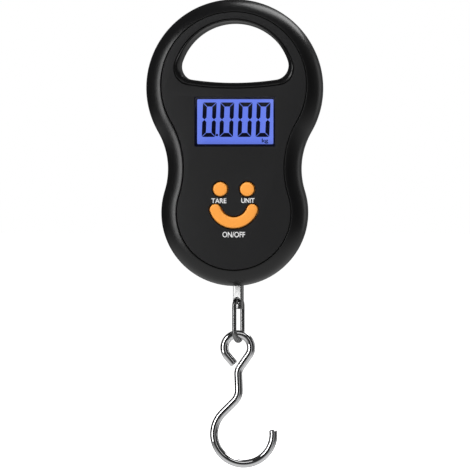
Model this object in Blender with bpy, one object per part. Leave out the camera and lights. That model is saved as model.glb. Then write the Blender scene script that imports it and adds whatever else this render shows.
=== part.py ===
"""Hand-held digital fish scale: a gourd-shaped two-shell case with a handle opening, an inlaid face panel
with a backlit display and three keys, a strain-gauge load cell on a steel anchor plate, and a swivel hanger
that carries a link and a bent-wire hook.

Frame: X to the right, Y to the back, Z up. The origin is where a hand or a peg holds the scale: the top of
the handle opening, on the case's mid-plane. Sizes are millimetres and become metres in the meshes.
"""
import math

import bmesh
import bpy
from mathutils import Matrix, Vector

MM = 0.001
GAP = 0.3                      # clearance between neighbouring pieces

# ---- case outline: two round lobes joined by hollow waist arcs ----
UPPER_R = 37.0
UPPER_Z = -27.2
LOWER_R = 30.7
LOWER_Z = -79.5
WAIST_HALF = 27.9

# ---- face panel outline, inside the rim ----
PANEL_UPPER_R = 30.2
PANEL_UPPER_Z = -26.1
PANEL_LOWER_R = 23.7
PANEL_WAIST_HALF = 20.8

# ---- handle opening, D-shaped, its top at z = 0 ----
GRIP_TOP_R = 23.6
GRIP_CORNER_R = 6.0
GRIP_BOTTOM_R = 120.0
GRIP_BOTTOM_Z = -25.2
GRIP_HALF = 22.6
LIP_SIDE = 2.3                 # width of the rounded lip beside the opening
LIP_TOP = 1.3                  # and above it
LIP_BOTTOM = 2.4               # and below it
LIP_DEPTH = 5.0

# ---- case depth, front to back ----
FRONT_Y = -14.0
BACK_Y = 14.0
PARTING = 0.15                 # each shell stops this far from the mid-plane
SIDE_Y = 5.0                   # the straight side wall runs to this depth, then rounds over
BACK_ROUND = 7.0
WALL = 1.8
PANEL_Y = (-13.6, -12.3)
FLOOR_Y = (-12.0, -10.5)       # the front shell's floor under the face panel

# ---- display stack ----
WINDOW_HALF = 16.5
WINDOW_Z = (-51.5, -32.0)
LENS_Y = (-12.1, -11.3)
LENS_HALF = 18.0
LENS_Z = (-53.0, -31.0)
CELL_GLASS_Y = (-11.1, -9.4)
CELL_GLASS_Z = (-55.4, -31.0)
BACKLIGHT_Y = (-9.2, -7.4)
BACKLIGHT_Z = (-52.7, -31.0)
FLOOR_OPENING_HALF = 18.5
FLOOR_OPENING_Z = (-56.0, -30.4)

# ---- keys ----
KEY_Y = (-14.0, -10.2)         # cap, proud of the panel
FLANGE_Y = (-10.2, -9.3)
FLANGE_EXTRA = 1.0
KEY_CLEARANCE = 0.4
ROUND_KEY_R = 2.95
ROUND_KEY_X = 5.6
ROUND_KEY_Z = -69.6
SMILE_R = 8.15                 # centreline of the curved key
SMILE_HALF_ANGLE = math.radians(71)
SMILE_HALF_WIDTH = 2.3
SMILE_Z = -75.45               # centre of that arc

# ---- circuit board ----
BOARD_Y = (-6.9, -5.7)
BOARD_TOP_Z = -29.8
BOARD_STEP_Z = -58.0
BOARD_BOTTOM_Z = -90.0
BOARD_HALF_TOP = 19.5
BOARD_HALF_UPPER = 23.6
BOARD_HALF_LOWER = 12.5
BOARD_EAR_Z = -38.2
BOARD_SCREW_X = 21.0
BOARD_SCREW_Z = (-54.5, -41.5)

# ---- load cell, anchor plate and hanger ----
HANG_X = 1.5
HANG_Y = -2.25
CELL_HALF = 7.0
CELL_Y = (-4.7, 0.2)
CELL_Z = (-98.0, -42.0)
ANCHOR_Y = (0.5, 2.0)
ANCHOR_Z = (-48.7, -31.0)
ANCHOR_HALF = 20.0
ANCHOR_SCREW_X = 16.0
ANCHOR_SCREW_Z = (-45.4, -34.5)
CELL_SCREW_X = 4.0
CELL_SCREW_Z = -45.2
HEAD_WINDOW_Z = (-92.0, -86.8)
SHANK_R = 1.3
HEAD_R = 2.3
BAR_HALF_X = 2.0
BAR_HALF_Y = 1.4
BAR_TOP_Z = -99.5
BAR_BOTTOM_Z = -119.9
EYE_Z = -116.3
EYE_R = 1.25
EXIT_R = 3.0
TURN = math.radians(-22)       # the hanger and link hang turned about the vertical

# ---- link and hook ----
LINK_WIRE_R = 0.9
LINK_HALF = 4.2
LINK_TOP_CORNER_R = 2.4
LINK_BOTTOM_Z = -133.3
HOOK_WIRE_R = 1.7
HOOK_TOP_Z = -130.5
HOOK_EYE_R = 5.6
HOOK_END_ANGLE = math.radians(220.6)
HOOK_END_LENGTH = 4.4
HOOK_NECK_ANGLE = math.radians(-35)
HOOK_STEM_X = 0.15             # stem, measured from the eye's centre
HOOK_STEM_LOWER_X = 0.6
HOOK_NECK_FILLET = 5.0
HOOK_SHOULDER_FILLET = 7.0
HOOK_BEND_X = 2.5
HOOK_BEND_Z = -172.45
HOOK_BEND_R = 12.47
HOOK_TIP_ANGLE = math.radians(8.5)

# ---- batteries and their bay ----
BATTERY_R = 5.25
BATTERY_X = 5.4
BATTERY_Y = 6.95
BATTERY_LENGTH = 44.5
BAY_HALF = 11.0
BAY_WALL = 3.2
BAY_Z = (-102.6, -52.4)
BAY_TOP_Z = -49.0
BAY_FLOOR_Y = (0.5, 1.5)
CONTACT_THICK = 0.5
SPRING_HEIGHT = 2.9

# ---- battery door ----
DOOR_HALF = 12.2
DOOR_TONGUE_HALF = 13.2
DOOR_Y = (12.4, 14.0)
DOOR_TONGUE_Y = 13.1
DOOR_Z = (-106.4, -50.4)

# ---- case screws and their bosses ----
CASE_SCREWS = {
    "upper_left": (-25.5, -34.0),
    "upper_right": (25.5, -34.0),
    "lower_left": (-18.4, -92.0),
    "lower_right": (18.4, -92.0),
}


# ======================================================================= tools

def clear_scene():
    for obj in list(bpy.data.objects):
        bpy.data.objects.remove(obj, do_unlink=True)


def material(name, colour, roughness, metallic=0.0):
    found = bpy.data.materials.get(name)
    if found:
        return found
    made = bpy.data.materials.new(name)
    made.use_nodes = True
    shader = made.node_tree.nodes["Principled BSDF"]
    shader.inputs["Base Color"].default_value = (*colour, 1.0)
    shader.inputs["Roughness"].default_value = roughness
    shader.inputs["Metallic"].default_value = metallic
    return made


def gloss_black():
    return material("gloss_black_plastic", (0.012, 0.012, 0.012), 0.28)


def matte_black():
    return material("matte_black_plastic", (0.02, 0.02, 0.02), 0.6)


def orange():
    return material("orange_key", (0.95, 0.35, 0.05), 0.5)


def steel():
    return material("plated_steel", (0.72, 0.72, 0.72), 0.15, 1.0)


def zinc():
    return material("zinc_screw", (0.55, 0.56, 0.58), 0.35, 1.0)


def brass():
    return material("nickel_contact", (0.75, 0.7, 0.55), 0.3, 1.0)


def add_object(name, mesh, surface=None):
    obj = bpy.data.objects.new(name, mesh)
    bpy.context.scene.collection.objects.link(obj)
    if surface:
        obj.data.materials.append(surface)
    return obj


def finish_mesh(name, bm, surface=None):
    """Turns a bmesh in millimetres into an object in metres, with outward faces."""
    bmesh.ops.recalc_face_normals(bm, faces=bm.faces)
    bmesh.ops.scale(bm, vec=(MM, MM, MM), verts=bm.verts)
    mesh = bpy.data.meshes.new(name)
    bm.to_mesh(mesh)
    bm.free()
    return add_object(name, mesh, surface)


def loft(name, rings, surface=None):
    """A closed solid through rings of equally many (x, y, z) points, capped at both ends."""
    bm = bmesh.new()
    loops = [[bm.verts.new(point) for point in ring] for ring in rings]
    for near, far in zip(loops, loops[1:]):
        count = len(near)
        for i in range(count):
            j = (i + 1) % count
            bm.faces.new((near[i], near[j], far[j], far[i]))
    bm.faces.new(loops[0])
    bm.faces.new(loops[-1])
    return finish_mesh(name, bm, surface)


def ring_at(outline, y):
    return [(x, y, z) for x, z in outline]


def prism(name, outline, y_range, surface=None):
    return loft(name, [ring_at(outline, y) for y in y_range], surface)


def box(name, x_range, y_range, z_range, surface=None, bevel=0.0):
    bm = bmesh.new()
    bmesh.ops.create_cube(bm, size=1.0)
    spans = (x_range, y_range, z_range)
    size = [high - low for low, high in spans]
    middle = [(low + high) / 2 for low, high in spans]
    bmesh.ops.scale(bm, vec=size, verts=bm.verts)
    bmesh.ops.translate(bm, vec=middle, verts=bm.verts)
    if bevel:
        bmesh.ops.bevel(bm, geom=bm.edges[:], offset=bevel, segments=1, affect="EDGES")
    return finish_mesh(name, bm, surface)


def add_rod(bm, start, end, radius, end_radius=None, sides=20):
    """Adds a closed cylinder or cone between two points."""
    start, end = Vector(start), Vector(end)
    direction = end - start
    turn = direction.to_track_quat("Z", "Y").to_matrix().to_4x4()
    place = Matrix.Translation((start + end) / 2) @ turn
    bmesh.ops.create_cone(
        bm, cap_ends=True, segments=sides, radius1=radius,
        radius2=radius if end_radius is None else end_radius,
        depth=direction.length, matrix=place,
    )


def rod(name, start, end, radius, surface=None, sides=20):
    bm = bmesh.new()
    add_rod(bm, start, end, radius, sides=sides)
    return finish_mesh(name, bm, surface)


def lathe(name, profile, centre, axis, surface=None, sides=20):
    """A turned solid: profile is (radius, distance along axis) pairs that start and end on the axis."""
    turn = Vector(axis).to_track_quat("Z", "Y").to_matrix()
    bm = bmesh.new()
    loops = []
    for radius, along in profile:
        count = sides if radius else 1
        points = [
            (radius * math.cos(math.tau * i / sides), radius * math.sin(math.tau * i / sides), along)
            for i in range(count)
        ]
        loops.append([bm.verts.new(turn @ Vector(p) + Vector(centre)) for p in points])
    for near, far in zip(loops, loops[1:]):
        for i in range(sides):
            j = (i + 1) % sides
            corners = [near[i % len(near)], near[j % len(near)], far[j % len(far)], far[i % len(far)]]
            bm.faces.new(list(dict.fromkeys(corners)))
    return finish_mesh(name, bm, surface)


def smooth(obj, angle=40.0):
    obj.data.shade_smooth()
    obj.data.set_sharp_from_angle(angle=math.radians(angle))
    return obj


def hide_tool(obj):
    obj.hide_render = True
    obj.display_type = "WIRE"
    return obj


def combine(target, tool, operation):
    modifier = target.modifiers.new(f"{operation.lower()}_{tool.name}", "BOOLEAN")
    modifier.operation = operation
    modifier.solver = "EXACT"
    modifier.object = hide_tool(tool)
    return target


def cut(target, *tools):
    for tool in tools:
        combine(target, tool, "DIFFERENCE")
    return target


def join(target, *tools):
    for tool in tools:
        combine(target, tool, "UNION")
    return target


def keep_inside(target, tool):
    return combine(target, tool, "INTERSECT")


def set_origin(obj, point):
    """Moves a piece's origin onto its joint without moving its surface."""
    offset = Vector(point) * MM
    obj.data.transform(Matrix.Translation(-offset))
    obj.location = offset
    return obj


def axis_empty(name, point, turn=0.0):
    empty = bpy.data.objects.new(name, None)
    empty.location = Vector(point) * MM
    empty.rotation_euler.z = turn
    empty.empty_display_size = 0.005
    bpy.context.scene.collection.objects.link(empty)
    return empty


def wire(name, points, radius, surface, cyclic=False, resolution=3, end_scale=1.0):
    """A round wire along points; end_scale narrows its two ends as a chamfer does."""
    curve = bpy.data.curves.new(name, "CURVE")
    curve.dimensions = "3D"
    curve.bevel_depth = radius * MM
    curve.bevel_resolution = resolution
    curve.use_fill_caps = not cyclic
    spline = curve.splines.new("POLY")
    spline.points.add(len(points) - 1)
    for control, point in zip(spline.points, points):
        control.co = (*(Vector(point) * MM), 1.0)
    spline.use_cyclic_u = cyclic
    if not cyclic:
        spline.points[0].radius = end_scale
        spline.points[-1].radius = end_scale
    return add_object(name, curve, surface)


# ===================================================================== outlines

def arc(centre, radius, start, end, steps):
    """Points (x, z) from angle start up to, but not including, angle end."""
    x, z = centre
    angles = [start + (end - start) * i / steps for i in range(steps)]
    return [(x + radius * math.cos(a), z + radius * math.sin(a)) for a in angles]


def waist_radius(upper_r, lower_r, span, waist_half):
    """Radius of the hollow arc that touches both lobes and leaves the given half width."""
    low, high = 1.0, 1000.0
    for _ in range(60):
        middle = (low + high) / 2
        side = (middle + waist_half) ** 2
        reach = sum(math.sqrt(max((middle + r) ** 2 - side, 0.0)) for r in (upper_r, lower_r))
        low, high = (middle, high) if reach < span else (low, middle)
    return (low + high) / 2


def gourd(upper_r, upper_z, lower_r, lower_z, waist_half, inset=0.0):
    """The case outline as (x, z) points, anticlockwise from the right tangent of the upper lobe."""
    waist_r = waist_radius(upper_r, lower_r, upper_z - lower_z, waist_half)
    waist_x = waist_half + waist_r
    waist_z = lower_z + math.sqrt((waist_r + lower_r) ** 2 - waist_x**2)
    above = math.atan2(waist_z - upper_z, waist_x)
    below = math.atan2(waist_z - lower_z, waist_x)
    hollow = waist_r + inset
    points = arc((0, upper_z), upper_r - inset, above, math.pi - above, 38)
    points += arc((-waist_x, waist_z), hollow, -above, -below, 9)
    points += arc((0, lower_z), lower_r - inset, math.pi - below, math.tau + below, 30)
    points += arc((waist_x, waist_z), hollow, math.pi + below, math.pi + above, 9)
    return points


def case_outline(inset=0.0):
    return gourd(UPPER_R, UPPER_Z, LOWER_R, LOWER_Z, WAIST_HALF, inset)


def panel_outline(inset=0.0):
    return gourd(PANEL_UPPER_R, PANEL_UPPER_Z, PANEL_LOWER_R, LOWER_Z, PANEL_WAIST_HALF, inset)


def grip_outline(offset=0.0, share=0.0):
    """The handle opening as (x, z) points, grown by offset; share 1 is the lip's outer edge."""
    top_z = -GRIP_TOP_R
    bottom_z = GRIP_BOTTOM_Z + GRIP_BOTTOM_R
    to_top = GRIP_TOP_R - GRIP_CORNER_R
    to_bottom = GRIP_BOTTOM_R - GRIP_CORNER_R
    corner_z = (to_top**2 - to_bottom**2 - top_z**2 + bottom_z**2) / (2 * (bottom_z - top_z))
    corner_x = math.sqrt(to_top**2 - (corner_z - top_z) ** 2)
    side = math.atan2(corner_z - top_z, corner_x)
    base = math.atan2(corner_z - bottom_z, corner_x)
    corner_r = GRIP_CORNER_R + offset
    points = arc((0, top_z), GRIP_TOP_R + offset, side, math.pi - side, 26)
    points += arc((-corner_x, corner_z), corner_r, math.pi - side, math.pi - base, 6)
    points += arc((0, bottom_z), GRIP_BOTTOM_R + offset, math.pi - base, math.tau + base, 10)
    points += arc((corner_x, corner_z), corner_r, math.tau + base, math.tau + side, 6)
    wider = 1 + share * LIP_SIDE / GRIP_HALF
    taller = 1 + share * (LIP_TOP + LIP_BOTTOM) / -GRIP_BOTTOM_Z
    return [(x * wider, z * taller + share * LIP_TOP) for x, z in points]


def between(first, second, share):
    return [(x + (u - x) * share, z + (w - z) * share) for (x, z), (u, w) in zip(first, second)]


def smile_outline(half_width):
    """The curved key's outline: a stroke along an arc, with round ends."""
    left = -math.pi / 2 - SMILE_HALF_ANGLE
    right = -math.pi / 2 + SMILE_HALF_ANGLE
    centre = (0, SMILE_Z)
    points = arc(centre, SMILE_R + half_width, left, right, 18)
    for angle, start in ((right, right), (left, left + math.pi)):
        end_centre = (SMILE_R * math.cos(angle), SMILE_Z + SMILE_R * math.sin(angle))
        points += arc(end_centre, half_width, start, start + math.pi, 8)
        if angle == right:
            points += arc(centre, SMILE_R - half_width, right, left, 14)
    return points


def circle(centre, radius, sides=20):
    return arc(centre, radius, 0, math.tau, sides)


ROUND_STEPS = [math.radians(a) for a in (0, 18, 36, 54, 72, 90)]
CREST_STEPS = [math.radians(a) for a in (0, 17, 34, 51, 68)]


def front_skin(extra=0.0):
    """Rings of the front shell's outside, from the parting line to the crest beside the panel."""
    outer, inner = case_outline(extra), panel_outline(extra)
    crest = CREST_STEPS[-1]
    depth = (FRONT_Y + SIDE_Y) / math.sin(crest)
    rings = []
    for angle in CREST_STEPS:
        share = (1 - math.cos(angle)) / (1 - math.cos(crest))
        rings.append(ring_at(between(outer, inner, share), -SIDE_Y + depth * math.sin(angle)))
    return outer, rings


def back_skin(extra=0.0):
    """Rings of the rear shell's outside, from the straight side to the flat back."""
    depth = BACK_Y - SIDE_Y
    rings = []
    for angle in ROUND_STEPS:
        inset = BACK_ROUND * (1 - math.cos(angle)) + extra
        rings.append(ring_at(case_outline(inset), SIDE_Y + depth * math.sin(angle)))
    return rings


def grip_rings(side, offset=0.0, reach=1.0):
    """Rings of the opening's rounded wall from the mid-plane to past the face; side is -1 for the front."""
    depth = abs(FRONT_Y) - 0.4
    rings = [ring_at(grip_outline(offset), -side * reach)]
    for angle in ROUND_STEPS[:-1]:
        y = side * (depth - LIP_DEPTH + LIP_DEPTH * math.sin(angle))
        rings.append(ring_at(grip_outline(offset, 1 - math.cos(angle)), y))
    edge = grip_outline(offset, 1.0)
    rings += [ring_at(edge, side * depth), ring_at(edge, side * (depth + 2.0))]
    return rings


# ======================================================================= casing

def key_outlines(grow):
    """The three key openings in the face, grown by the given clearance."""
    left = circle((-ROUND_KEY_X, ROUND_KEY_Z), ROUND_KEY_R + grow)
    right = circle((ROUND_KEY_X, ROUND_KEY_Z), ROUND_KEY_R + grow)
    return {"tare": left, "unit": right, "power": smile_outline(SMILE_HALF_WIDTH + grow)}


def cavity(name, rings):
    """The hollow inside a shell, leaving a wall round the handle opening."""
    hollow = loft(name, rings)
    wall = prism(f"{name}_grip_wall", grip_outline(WALL, 0.5), (-20.0, 20.0))
    return cut(hollow, wall)


def front_shell():
    """Front shell: glossy rounded rim, lip round the handle opening and a floor under the face panel."""
    outer, skin = front_skin()
    shell = loft("front_shell", [ring_at(outer, -PARTING), *skin], gloss_black())
    inner, inside = front_skin(WALL)
    rings = [ring_at(inner, 1.0)] + [r for r in inside if r[0][1] > FLOOR_Y[1]]
    rings.append(ring_at(panel_outline(WALL / 2), FLOOR_Y[1]))
    cut(shell, cavity("front_cavity", rings))
    for name, (x, z) in CASE_SCREWS.items():
        boss = rod(f"front_boss_{name}", (x, FLOOR_Y[1] - 0.7, z), (x, -PARTING, z), 3.0)
        join(shell, boss)
    for i, (x, z) in enumerate(board_screw_places()):
        boss = rod(f"board_boss_{i}", (x, FLOOR_Y[1] - 0.7, z), (x, BOARD_Y[0] - GAP, z), 2.2, sides=14)
        join(shell, boss)
    cut(shell, loft("front_grip_cutter", grip_rings(-1)))
    recess = prism("panel_recess", panel_outline(-GAP), (FLOOR_Y[0], FRONT_Y - 1))
    cut(recess, prism("recess_island", grip_outline(-GAP, 1.0), (0.0, FRONT_Y - 2)))
    cut(shell, recess)
    through = (FLOOR_Y[0] - 1, FLOOR_Y[1] + 1)
    half = FLOOR_OPENING_HALF
    cut(shell, box("floor_opening", (-half, half), through, FLOOR_OPENING_Z))
    for name, outline in key_outlines(KEY_CLEARANCE).items():
        cut(shell, prism(f"floor_{name}_hole", outline, through))
    for name, (x, z) in CASE_SCREWS.items():
        cut(shell, rod(f"front_pilot_{name}", (x, -8.5, z), (x, 1.0, z), 1.5, sides=14))
    for i, (x, z) in enumerate(board_screw_places()):
        cut(shell, rod(f"board_pilot_{i}", (x, FLOOR_Y[1] + 0.4, z), (x, -5.0, z), 1.1, sides=12))
    return cut(shell, exit_cutter("front_exit"))


def exit_cutter(name):
    """The round hole in the case bottom that the hanger comes out of."""
    low, high = LOWER_Z - LOWER_R - 2, CELL_Z[0] - 2
    return rod(name, (HANG_X, HANG_Y, low), (HANG_X, HANG_Y, high), EXIT_R, sides=24)


def face_panel():
    panel = prism("face_panel", panel_outline(), PANEL_Y, matte_black())
    through = (PANEL_Y[0] - 1, PANEL_Y[1] + 1)
    cut(panel, prism("panel_grip_hole", grip_outline(0.1, 1.0), through))
    cut(panel, box("panel_window", (-WINDOW_HALF, WINDOW_HALF), through, WINDOW_Z))
    for name, outline in key_outlines(KEY_CLEARANCE).items():
        cut(panel, prism(f"panel_{name}_hole", outline, through))
    return panel


def door_slot():
    """Stepped slot for the sliding door, open at the case's lower end."""
    top = DOOR_Z[1] + GAP
    low = LOWER_Z - LOWER_R - 8
    wide = DOOR_TONGUE_HALF + GAP
    slot = box("door_slot", (-wide, wide), (DOOR_Y[0] - GAP, DOOR_TONGUE_Y + GAP), (low, top))
    narrow = DOOR_HALF + GAP
    upper = box("door_slot_mouth", (-narrow, narrow), (DOOR_TONGUE_Y - 0.2, BACK_Y + 2), (low - 1, top))
    return join(slot, upper)


def rear_shell():
    """Rear shell: rounded back, battery bay, bosses for the case screws and the anchor plate."""
    shell = loft("rear_shell", [ring_at(case_outline(), PARTING), *back_skin()], gloss_black())
    inside = [r for r in back_skin(WALL) if r[0][1] < BACK_Y - WALL]
    turn = math.asin((BACK_Y - WALL - SIDE_Y) / (BACK_Y - SIDE_Y))
    lid = case_outline(BACK_ROUND * (1 - math.cos(turn)) + WALL)
    rings = [ring_at(case_outline(WALL), -1.0), *inside, ring_at(lid, BACK_Y - WALL)]
    cut(shell, cavity("rear_cavity", rings))
    core = [ring_at(case_outline(WALL / 2), PARTING), *back_skin(WALL / 2)]
    core[-1] = ring_at(case_outline(BACK_ROUND + WALL / 2), BACK_Y - WALL / 2)
    bay_half = BAY_HALF + BAY_WALL
    low = LOWER_Z - LOWER_R
    features = box("bay_block", (-bay_half, bay_half), (BAY_FLOOR_Y[0], BACK_Y), (low, BAY_TOP_Z))
    for name, (x, z) in CASE_SCREWS.items():
        join(features, rod(f"rear_boss_{name}", (x, PARTING, z), (x, BACK_Y - 0.5, z), 4.0))
    for i, (x, z) in enumerate(anchor_screw_places()):
        join(features, rod(f"anchor_boss_{i}", (x, ANCHOR_Y[1] + GAP, z), (x, BACK_Y - 0.5, z), 3.0, sides=16))
    keep_inside(features, loft("feature_limit", core))
    join(shell, features)
    cut(shell, loft("rear_grip_cutter", grip_rings(1)))
    cut(shell, box("bay_hollow", (-BAY_HALF, BAY_HALF), (BAY_FLOOR_Y[1], BACK_Y + 2), BAY_Z))
    cut(shell, door_slot())
    for name, (x, z) in CASE_SCREWS.items():
        cut(shell, rod(f"counterbore_{name}", (x, 4.0, z), (x, BACK_Y + 2, z), 3.0))
        cut(shell, rod(f"clearance_{name}", (x, -1.0, z), (x, 5.0, z), 1.5, sides=14))
    for i, (x, z) in enumerate(anchor_screw_places()):
        cut(shell, rod(f"anchor_pilot_{i}", (x, 0.0, z), (x, 9.0, z), 1.4, sides=12))
    return cut(shell, exit_cutter("rear_exit"))


def battery_door():
    """Sliding door with side tongues, a rounded lower end and thumb ribs."""
    z_low, z_high = DOOR_Z
    door = box("battery_door", (-DOOR_HALF, DOOR_HALF), (DOOR_Y[0], BACK_Y + 1), DOOR_Z, matte_black())
    tongue = DOOR_TONGUE_HALF
    join(door, box("door_tongues", (-tongue, tongue), (DOOR_Y[0], DOOR_TONGUE_Y), DOOR_Z))
    keep_inside(door, loft("door_limit", [ring_at(case_outline(), PARTING), *back_skin()]))
    for i in range(5):
        z = z_high - 6.0 - 2.0 * i
        reach = 7.0 - 0.6 * i
        cut(door, box(f"thumb_groove_{i}", (-reach, reach), (BACK_Y - 0.5, BACK_Y + 2), (z - 0.5, z + 0.5)))
    return set_origin(door, (0, DOOR_Y[0], (z_low + z_high) / 2))


def case_screws():
    """Self-tapping screws driven from the back through the rear bosses."""
    for name, (x, z) in CASE_SCREWS.items():
        profile = [(0, 6.3), (1.0, 6.3), (2.5, 5.6), (2.5, 4.3), (1.2, 4.3), (1.2, -6.5), (0, -7.6)]
        lathe(f"case_screw_{name}", profile, (x, 0, z), (0, 1, 0), zinc(), sides=14)


# ============================================================ display and keys

def display():
    half = LENS_HALF
    box("display_window", (-half, half), LENS_Y, LENS_Z, material("clear_window", (0.8, 0.85, 0.9), 0.05))
    glass = material("display_glass", (0.16, 0.2, 0.85), 0.2)
    box("display_cell", (-half, half), CELL_GLASS_Y, CELL_GLASS_Z, glass)
    light = material("light_guide", (0.3, 0.4, 1.0), 0.4)
    box("backlight_panel", (-half + 0.5, half - 0.5), BACKLIGHT_Y, BACKLIGHT_Z, light)
    strip_y = (CELL_GLASS_Y[1] + 0.2, BOARD_Y[0] - 0.2)
    rubber = material("conductive_rubber", (0.05, 0.05, 0.05), 0.8)
    box("display_connector", (-half + 1, half - 1), strip_y, (BACKLIGHT_Z[0] - 2.2, BACKLIGHT_Z[0] - 0.5), rubber)


def key_cap(name, outline, wide, origin):
    """A moulded key: crowned cap in front and a flange that stops it behind the floor."""
    front, back = KEY_Y
    cx = sum(x for x, _ in outline) / len(outline)
    cz = sum(z for _, z in outline) / len(outline)
    crown = [(cx + (x - cx) * 0.94, cz + (z - cz) * 0.94) for x, z in outline]
    rings = [
        ring_at(crown, front),
        ring_at(outline, front + 0.3),
        ring_at(outline, back),
        ring_at(wide, back),
        ring_at(wide, FLANGE_Y[1]),
    ]
    return set_origin(loft(name, rings, orange()), origin)


def keys():
    caps = key_outlines(0.0)
    flanges = key_outlines(FLANGE_EXTRA)
    for name, centre in key_centres().items():
        x, z = centre
        key_cap(f"{name}_button", caps[name], flanges[name], (x, FLANGE_Y[1], z))


def key_centres():
    return {
        "tare": (-ROUND_KEY_X, ROUND_KEY_Z),
        "unit": (ROUND_KEY_X, ROUND_KEY_Z),
        "power": (0.0, SMILE_Z - SMILE_R),
    }


def key_switches():
    """Low tact switches on the board, each with a plunger that the key pushes."""
    body_y = (-8.6, BOARD_Y[0] - 0.2)
    dark = material("switch_body", (0.06, 0.06, 0.07), 0.5)
    for name, (x, z) in key_centres().items():
        body = box(f"{name}_switch", (x - 2.2, x + 2.2), body_y, (z - 2.2, z + 2.2), dark)
        cut(body, rod(f"{name}_well", (x, -9.5, z), (x, -7.35, z), 1.4, sides=16))
        white = material("switch_plunger", (0.8, 0.78, 0.7), 0.5)
        profile = [(0, -9.1), (0.8, -9.1), (1.05, -8.9), (1.05, -8.0), (0, -8.0)]
        plunger = lathe(f"{name}_plunger", profile, (x, 0, z), (0, 1, 0), white, sides=16)
        set_origin(plunger, (x, -9.1, z))


# ================================================================ electronics

def board_screw_places():
    return [(x, z) for z in BOARD_SCREW_Z for x in (-BOARD_SCREW_X, BOARD_SCREW_X)]


def circuit_board():
    top, wide, slim = BOARD_HALF_TOP, BOARD_HALF_UPPER, BOARD_HALF_LOWER
    left = [
        (-top, BOARD_TOP_Z), (-top, BOARD_EAR_Z), (-wide, BOARD_EAR_Z),
        (-wide, BOARD_STEP_Z), (-slim, BOARD_STEP_Z), (-slim, BOARD_BOTTOM_Z),
    ]
    outline = left + [(-x, z) for x, z in reversed(left)]
    green = material("board_green", (0.02, 0.18, 0.06), 0.45)
    board = prism("circuit_board", outline, BOARD_Y, green)
    for i, (x, z) in enumerate(board_screw_places()):
        cut(board, rod(f"board_hole_{i}", (x, -9.0, z), (x, -4.0, z), 1.3, sides=12))
        profile = [(0, -4.2), (1.2, -4.2), (1.9, -4.7), (1.9, -5.4), (0.8, -5.4), (0.8, -9.3), (0, -9.9)]
        lathe(f"board_screw_{i + 1}", profile, (x, 0, z), (0, 1, 0), zinc(), sides=12)
    back = BOARD_Y[1] + 0.2
    epoxy = material("black_epoxy", (0.01, 0.01, 0.012), 0.35)
    dome = [(0, back), (5.0, back), (4.6, back + 0.5), (3.2, back + 0.95), (0, back + 1.1)]
    lathe("controller_chip", dome, (-10.0, 0, -38.0), (0, 1, 0), epoxy, sides=20)
    tin = material("component_can", (0.6, 0.6, 0.62), 0.3, 1.0)
    box("crystal_can", (6.0, 14.0), (back, back + 2.6), (-37.5, -34.5), tin, bevel=0.5)
    sleeve = material("capacitor_sleeve", (0.03, 0.03, 0.1), 0.4)
    rod("filter_capacitor", (-2.6, back + 2.2, -33.4), (3.2, back + 2.2, -33.4), 2.0, sleeve, sides=16)


def lead_route(side):
    """Battery lead from the bay's side wall forward to the board."""
    x = side * (BAY_HALF + BAY_WALL + 1.2)
    return [
        (x, 8.0, -60.0), (x + side * 0.5, 4.0, -59.2), (x + side * 0.7, 0.0, -57.6),
        (x + side * 0.2, -3.0, -55.6), (x - side * 0.6, -5.0, -54.2),
    ]


def smooth_route(knots, steps=5):
    """Catmull-Rom points through the knots of a lead."""
    pts = [Vector(k) for k in knots]
    pts = [2 * pts[0] - pts[1], *pts, 2 * pts[-1] - pts[-2]]
    route = []
    for a, b, c, d in zip(pts, pts[1:], pts[2:], pts[3:]):
        for i in range(steps):
            t = i / steps
            route.append(
                0.5 * (2 * b + (c - a) * t + (2 * a - 5 * b + 4 * c - d) * t**2 + (3 * b - a - 3 * c + d) * t**3)
            )
    route.append(pts[-2])
    return route


def leads():
    red = material("red_lead", (0.6, 0.02, 0.02), 0.45)
    black = material("black_lead", (0.02, 0.02, 0.02), 0.45)
    grey = material("gauge_lead", (0.45, 0.45, 0.47), 0.45)
    wire("positive_lead", smooth_route(lead_route(-1)), 0.6, red, resolution=2)
    wire("negative_lead", smooth_route(lead_route(1)), 0.6, black, resolution=2)
    left = HANG_X - CELL_HALF
    knots = [
        (left - 1.3, -2.2, -66.5), (left - 2.0, -2.5, -64.0), (left - 2.6, -3.4, -61.6), (left - 3.4, -4.9, -60.0),
    ]
    wire("gauge_lead", smooth_route(knots), 0.7, grey, resolution=2)


# ============================================================ load path inside

def anchor_screw_places():
    return [(x, z) for z in ANCHOR_SCREW_Z for x in (-ANCHOR_SCREW_X, ANCHOR_SCREW_X)]


def anchor_plate():
    half = ANCHOR_HALF
    plate = box("anchor_plate", (-half, half), ANCHOR_Y, ANCHOR_Z, steel())
    for i, (x, z) in enumerate(anchor_screw_places()):
        cut(plate, rod(f"anchor_hole_{i}", (x, -1.0, z), (x, 4.0, z), 1.5, sides=12))
        profile = [(0, -1.4), (1.4, -1.4), (2.3, -0.9), (2.3, 0.2), (1.1, 0.2), (1.1, 7.5), (0, 8.4)]
        lathe(f"anchor_screw_{i + 1}", profile, (x, 0, z), (0, 1, 0), zinc(), sides=12)
    for i, side in enumerate((-1, 1)):
        x = HANG_X + side * CELL_SCREW_X
        hole = rod(f"cell_screw_hole_{i}", (x, -1.0, CELL_SCREW_Z), (x, 4.0, CELL_SCREW_Z), 1.7, sides=12)
        cut(plate, hole)
        profile = [(0, 4.3), (1.6, 4.3), (2.5, 3.7), (2.5, 2.3), (1.35, 2.3), (1.35, -4.2), (0, -4.5)]
        lathe(f"cell_screw_{i + 1}", profile, (x, 0, CELL_SCREW_Z), (0, 1, 0), zinc(), sides=12)
    return plate


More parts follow.
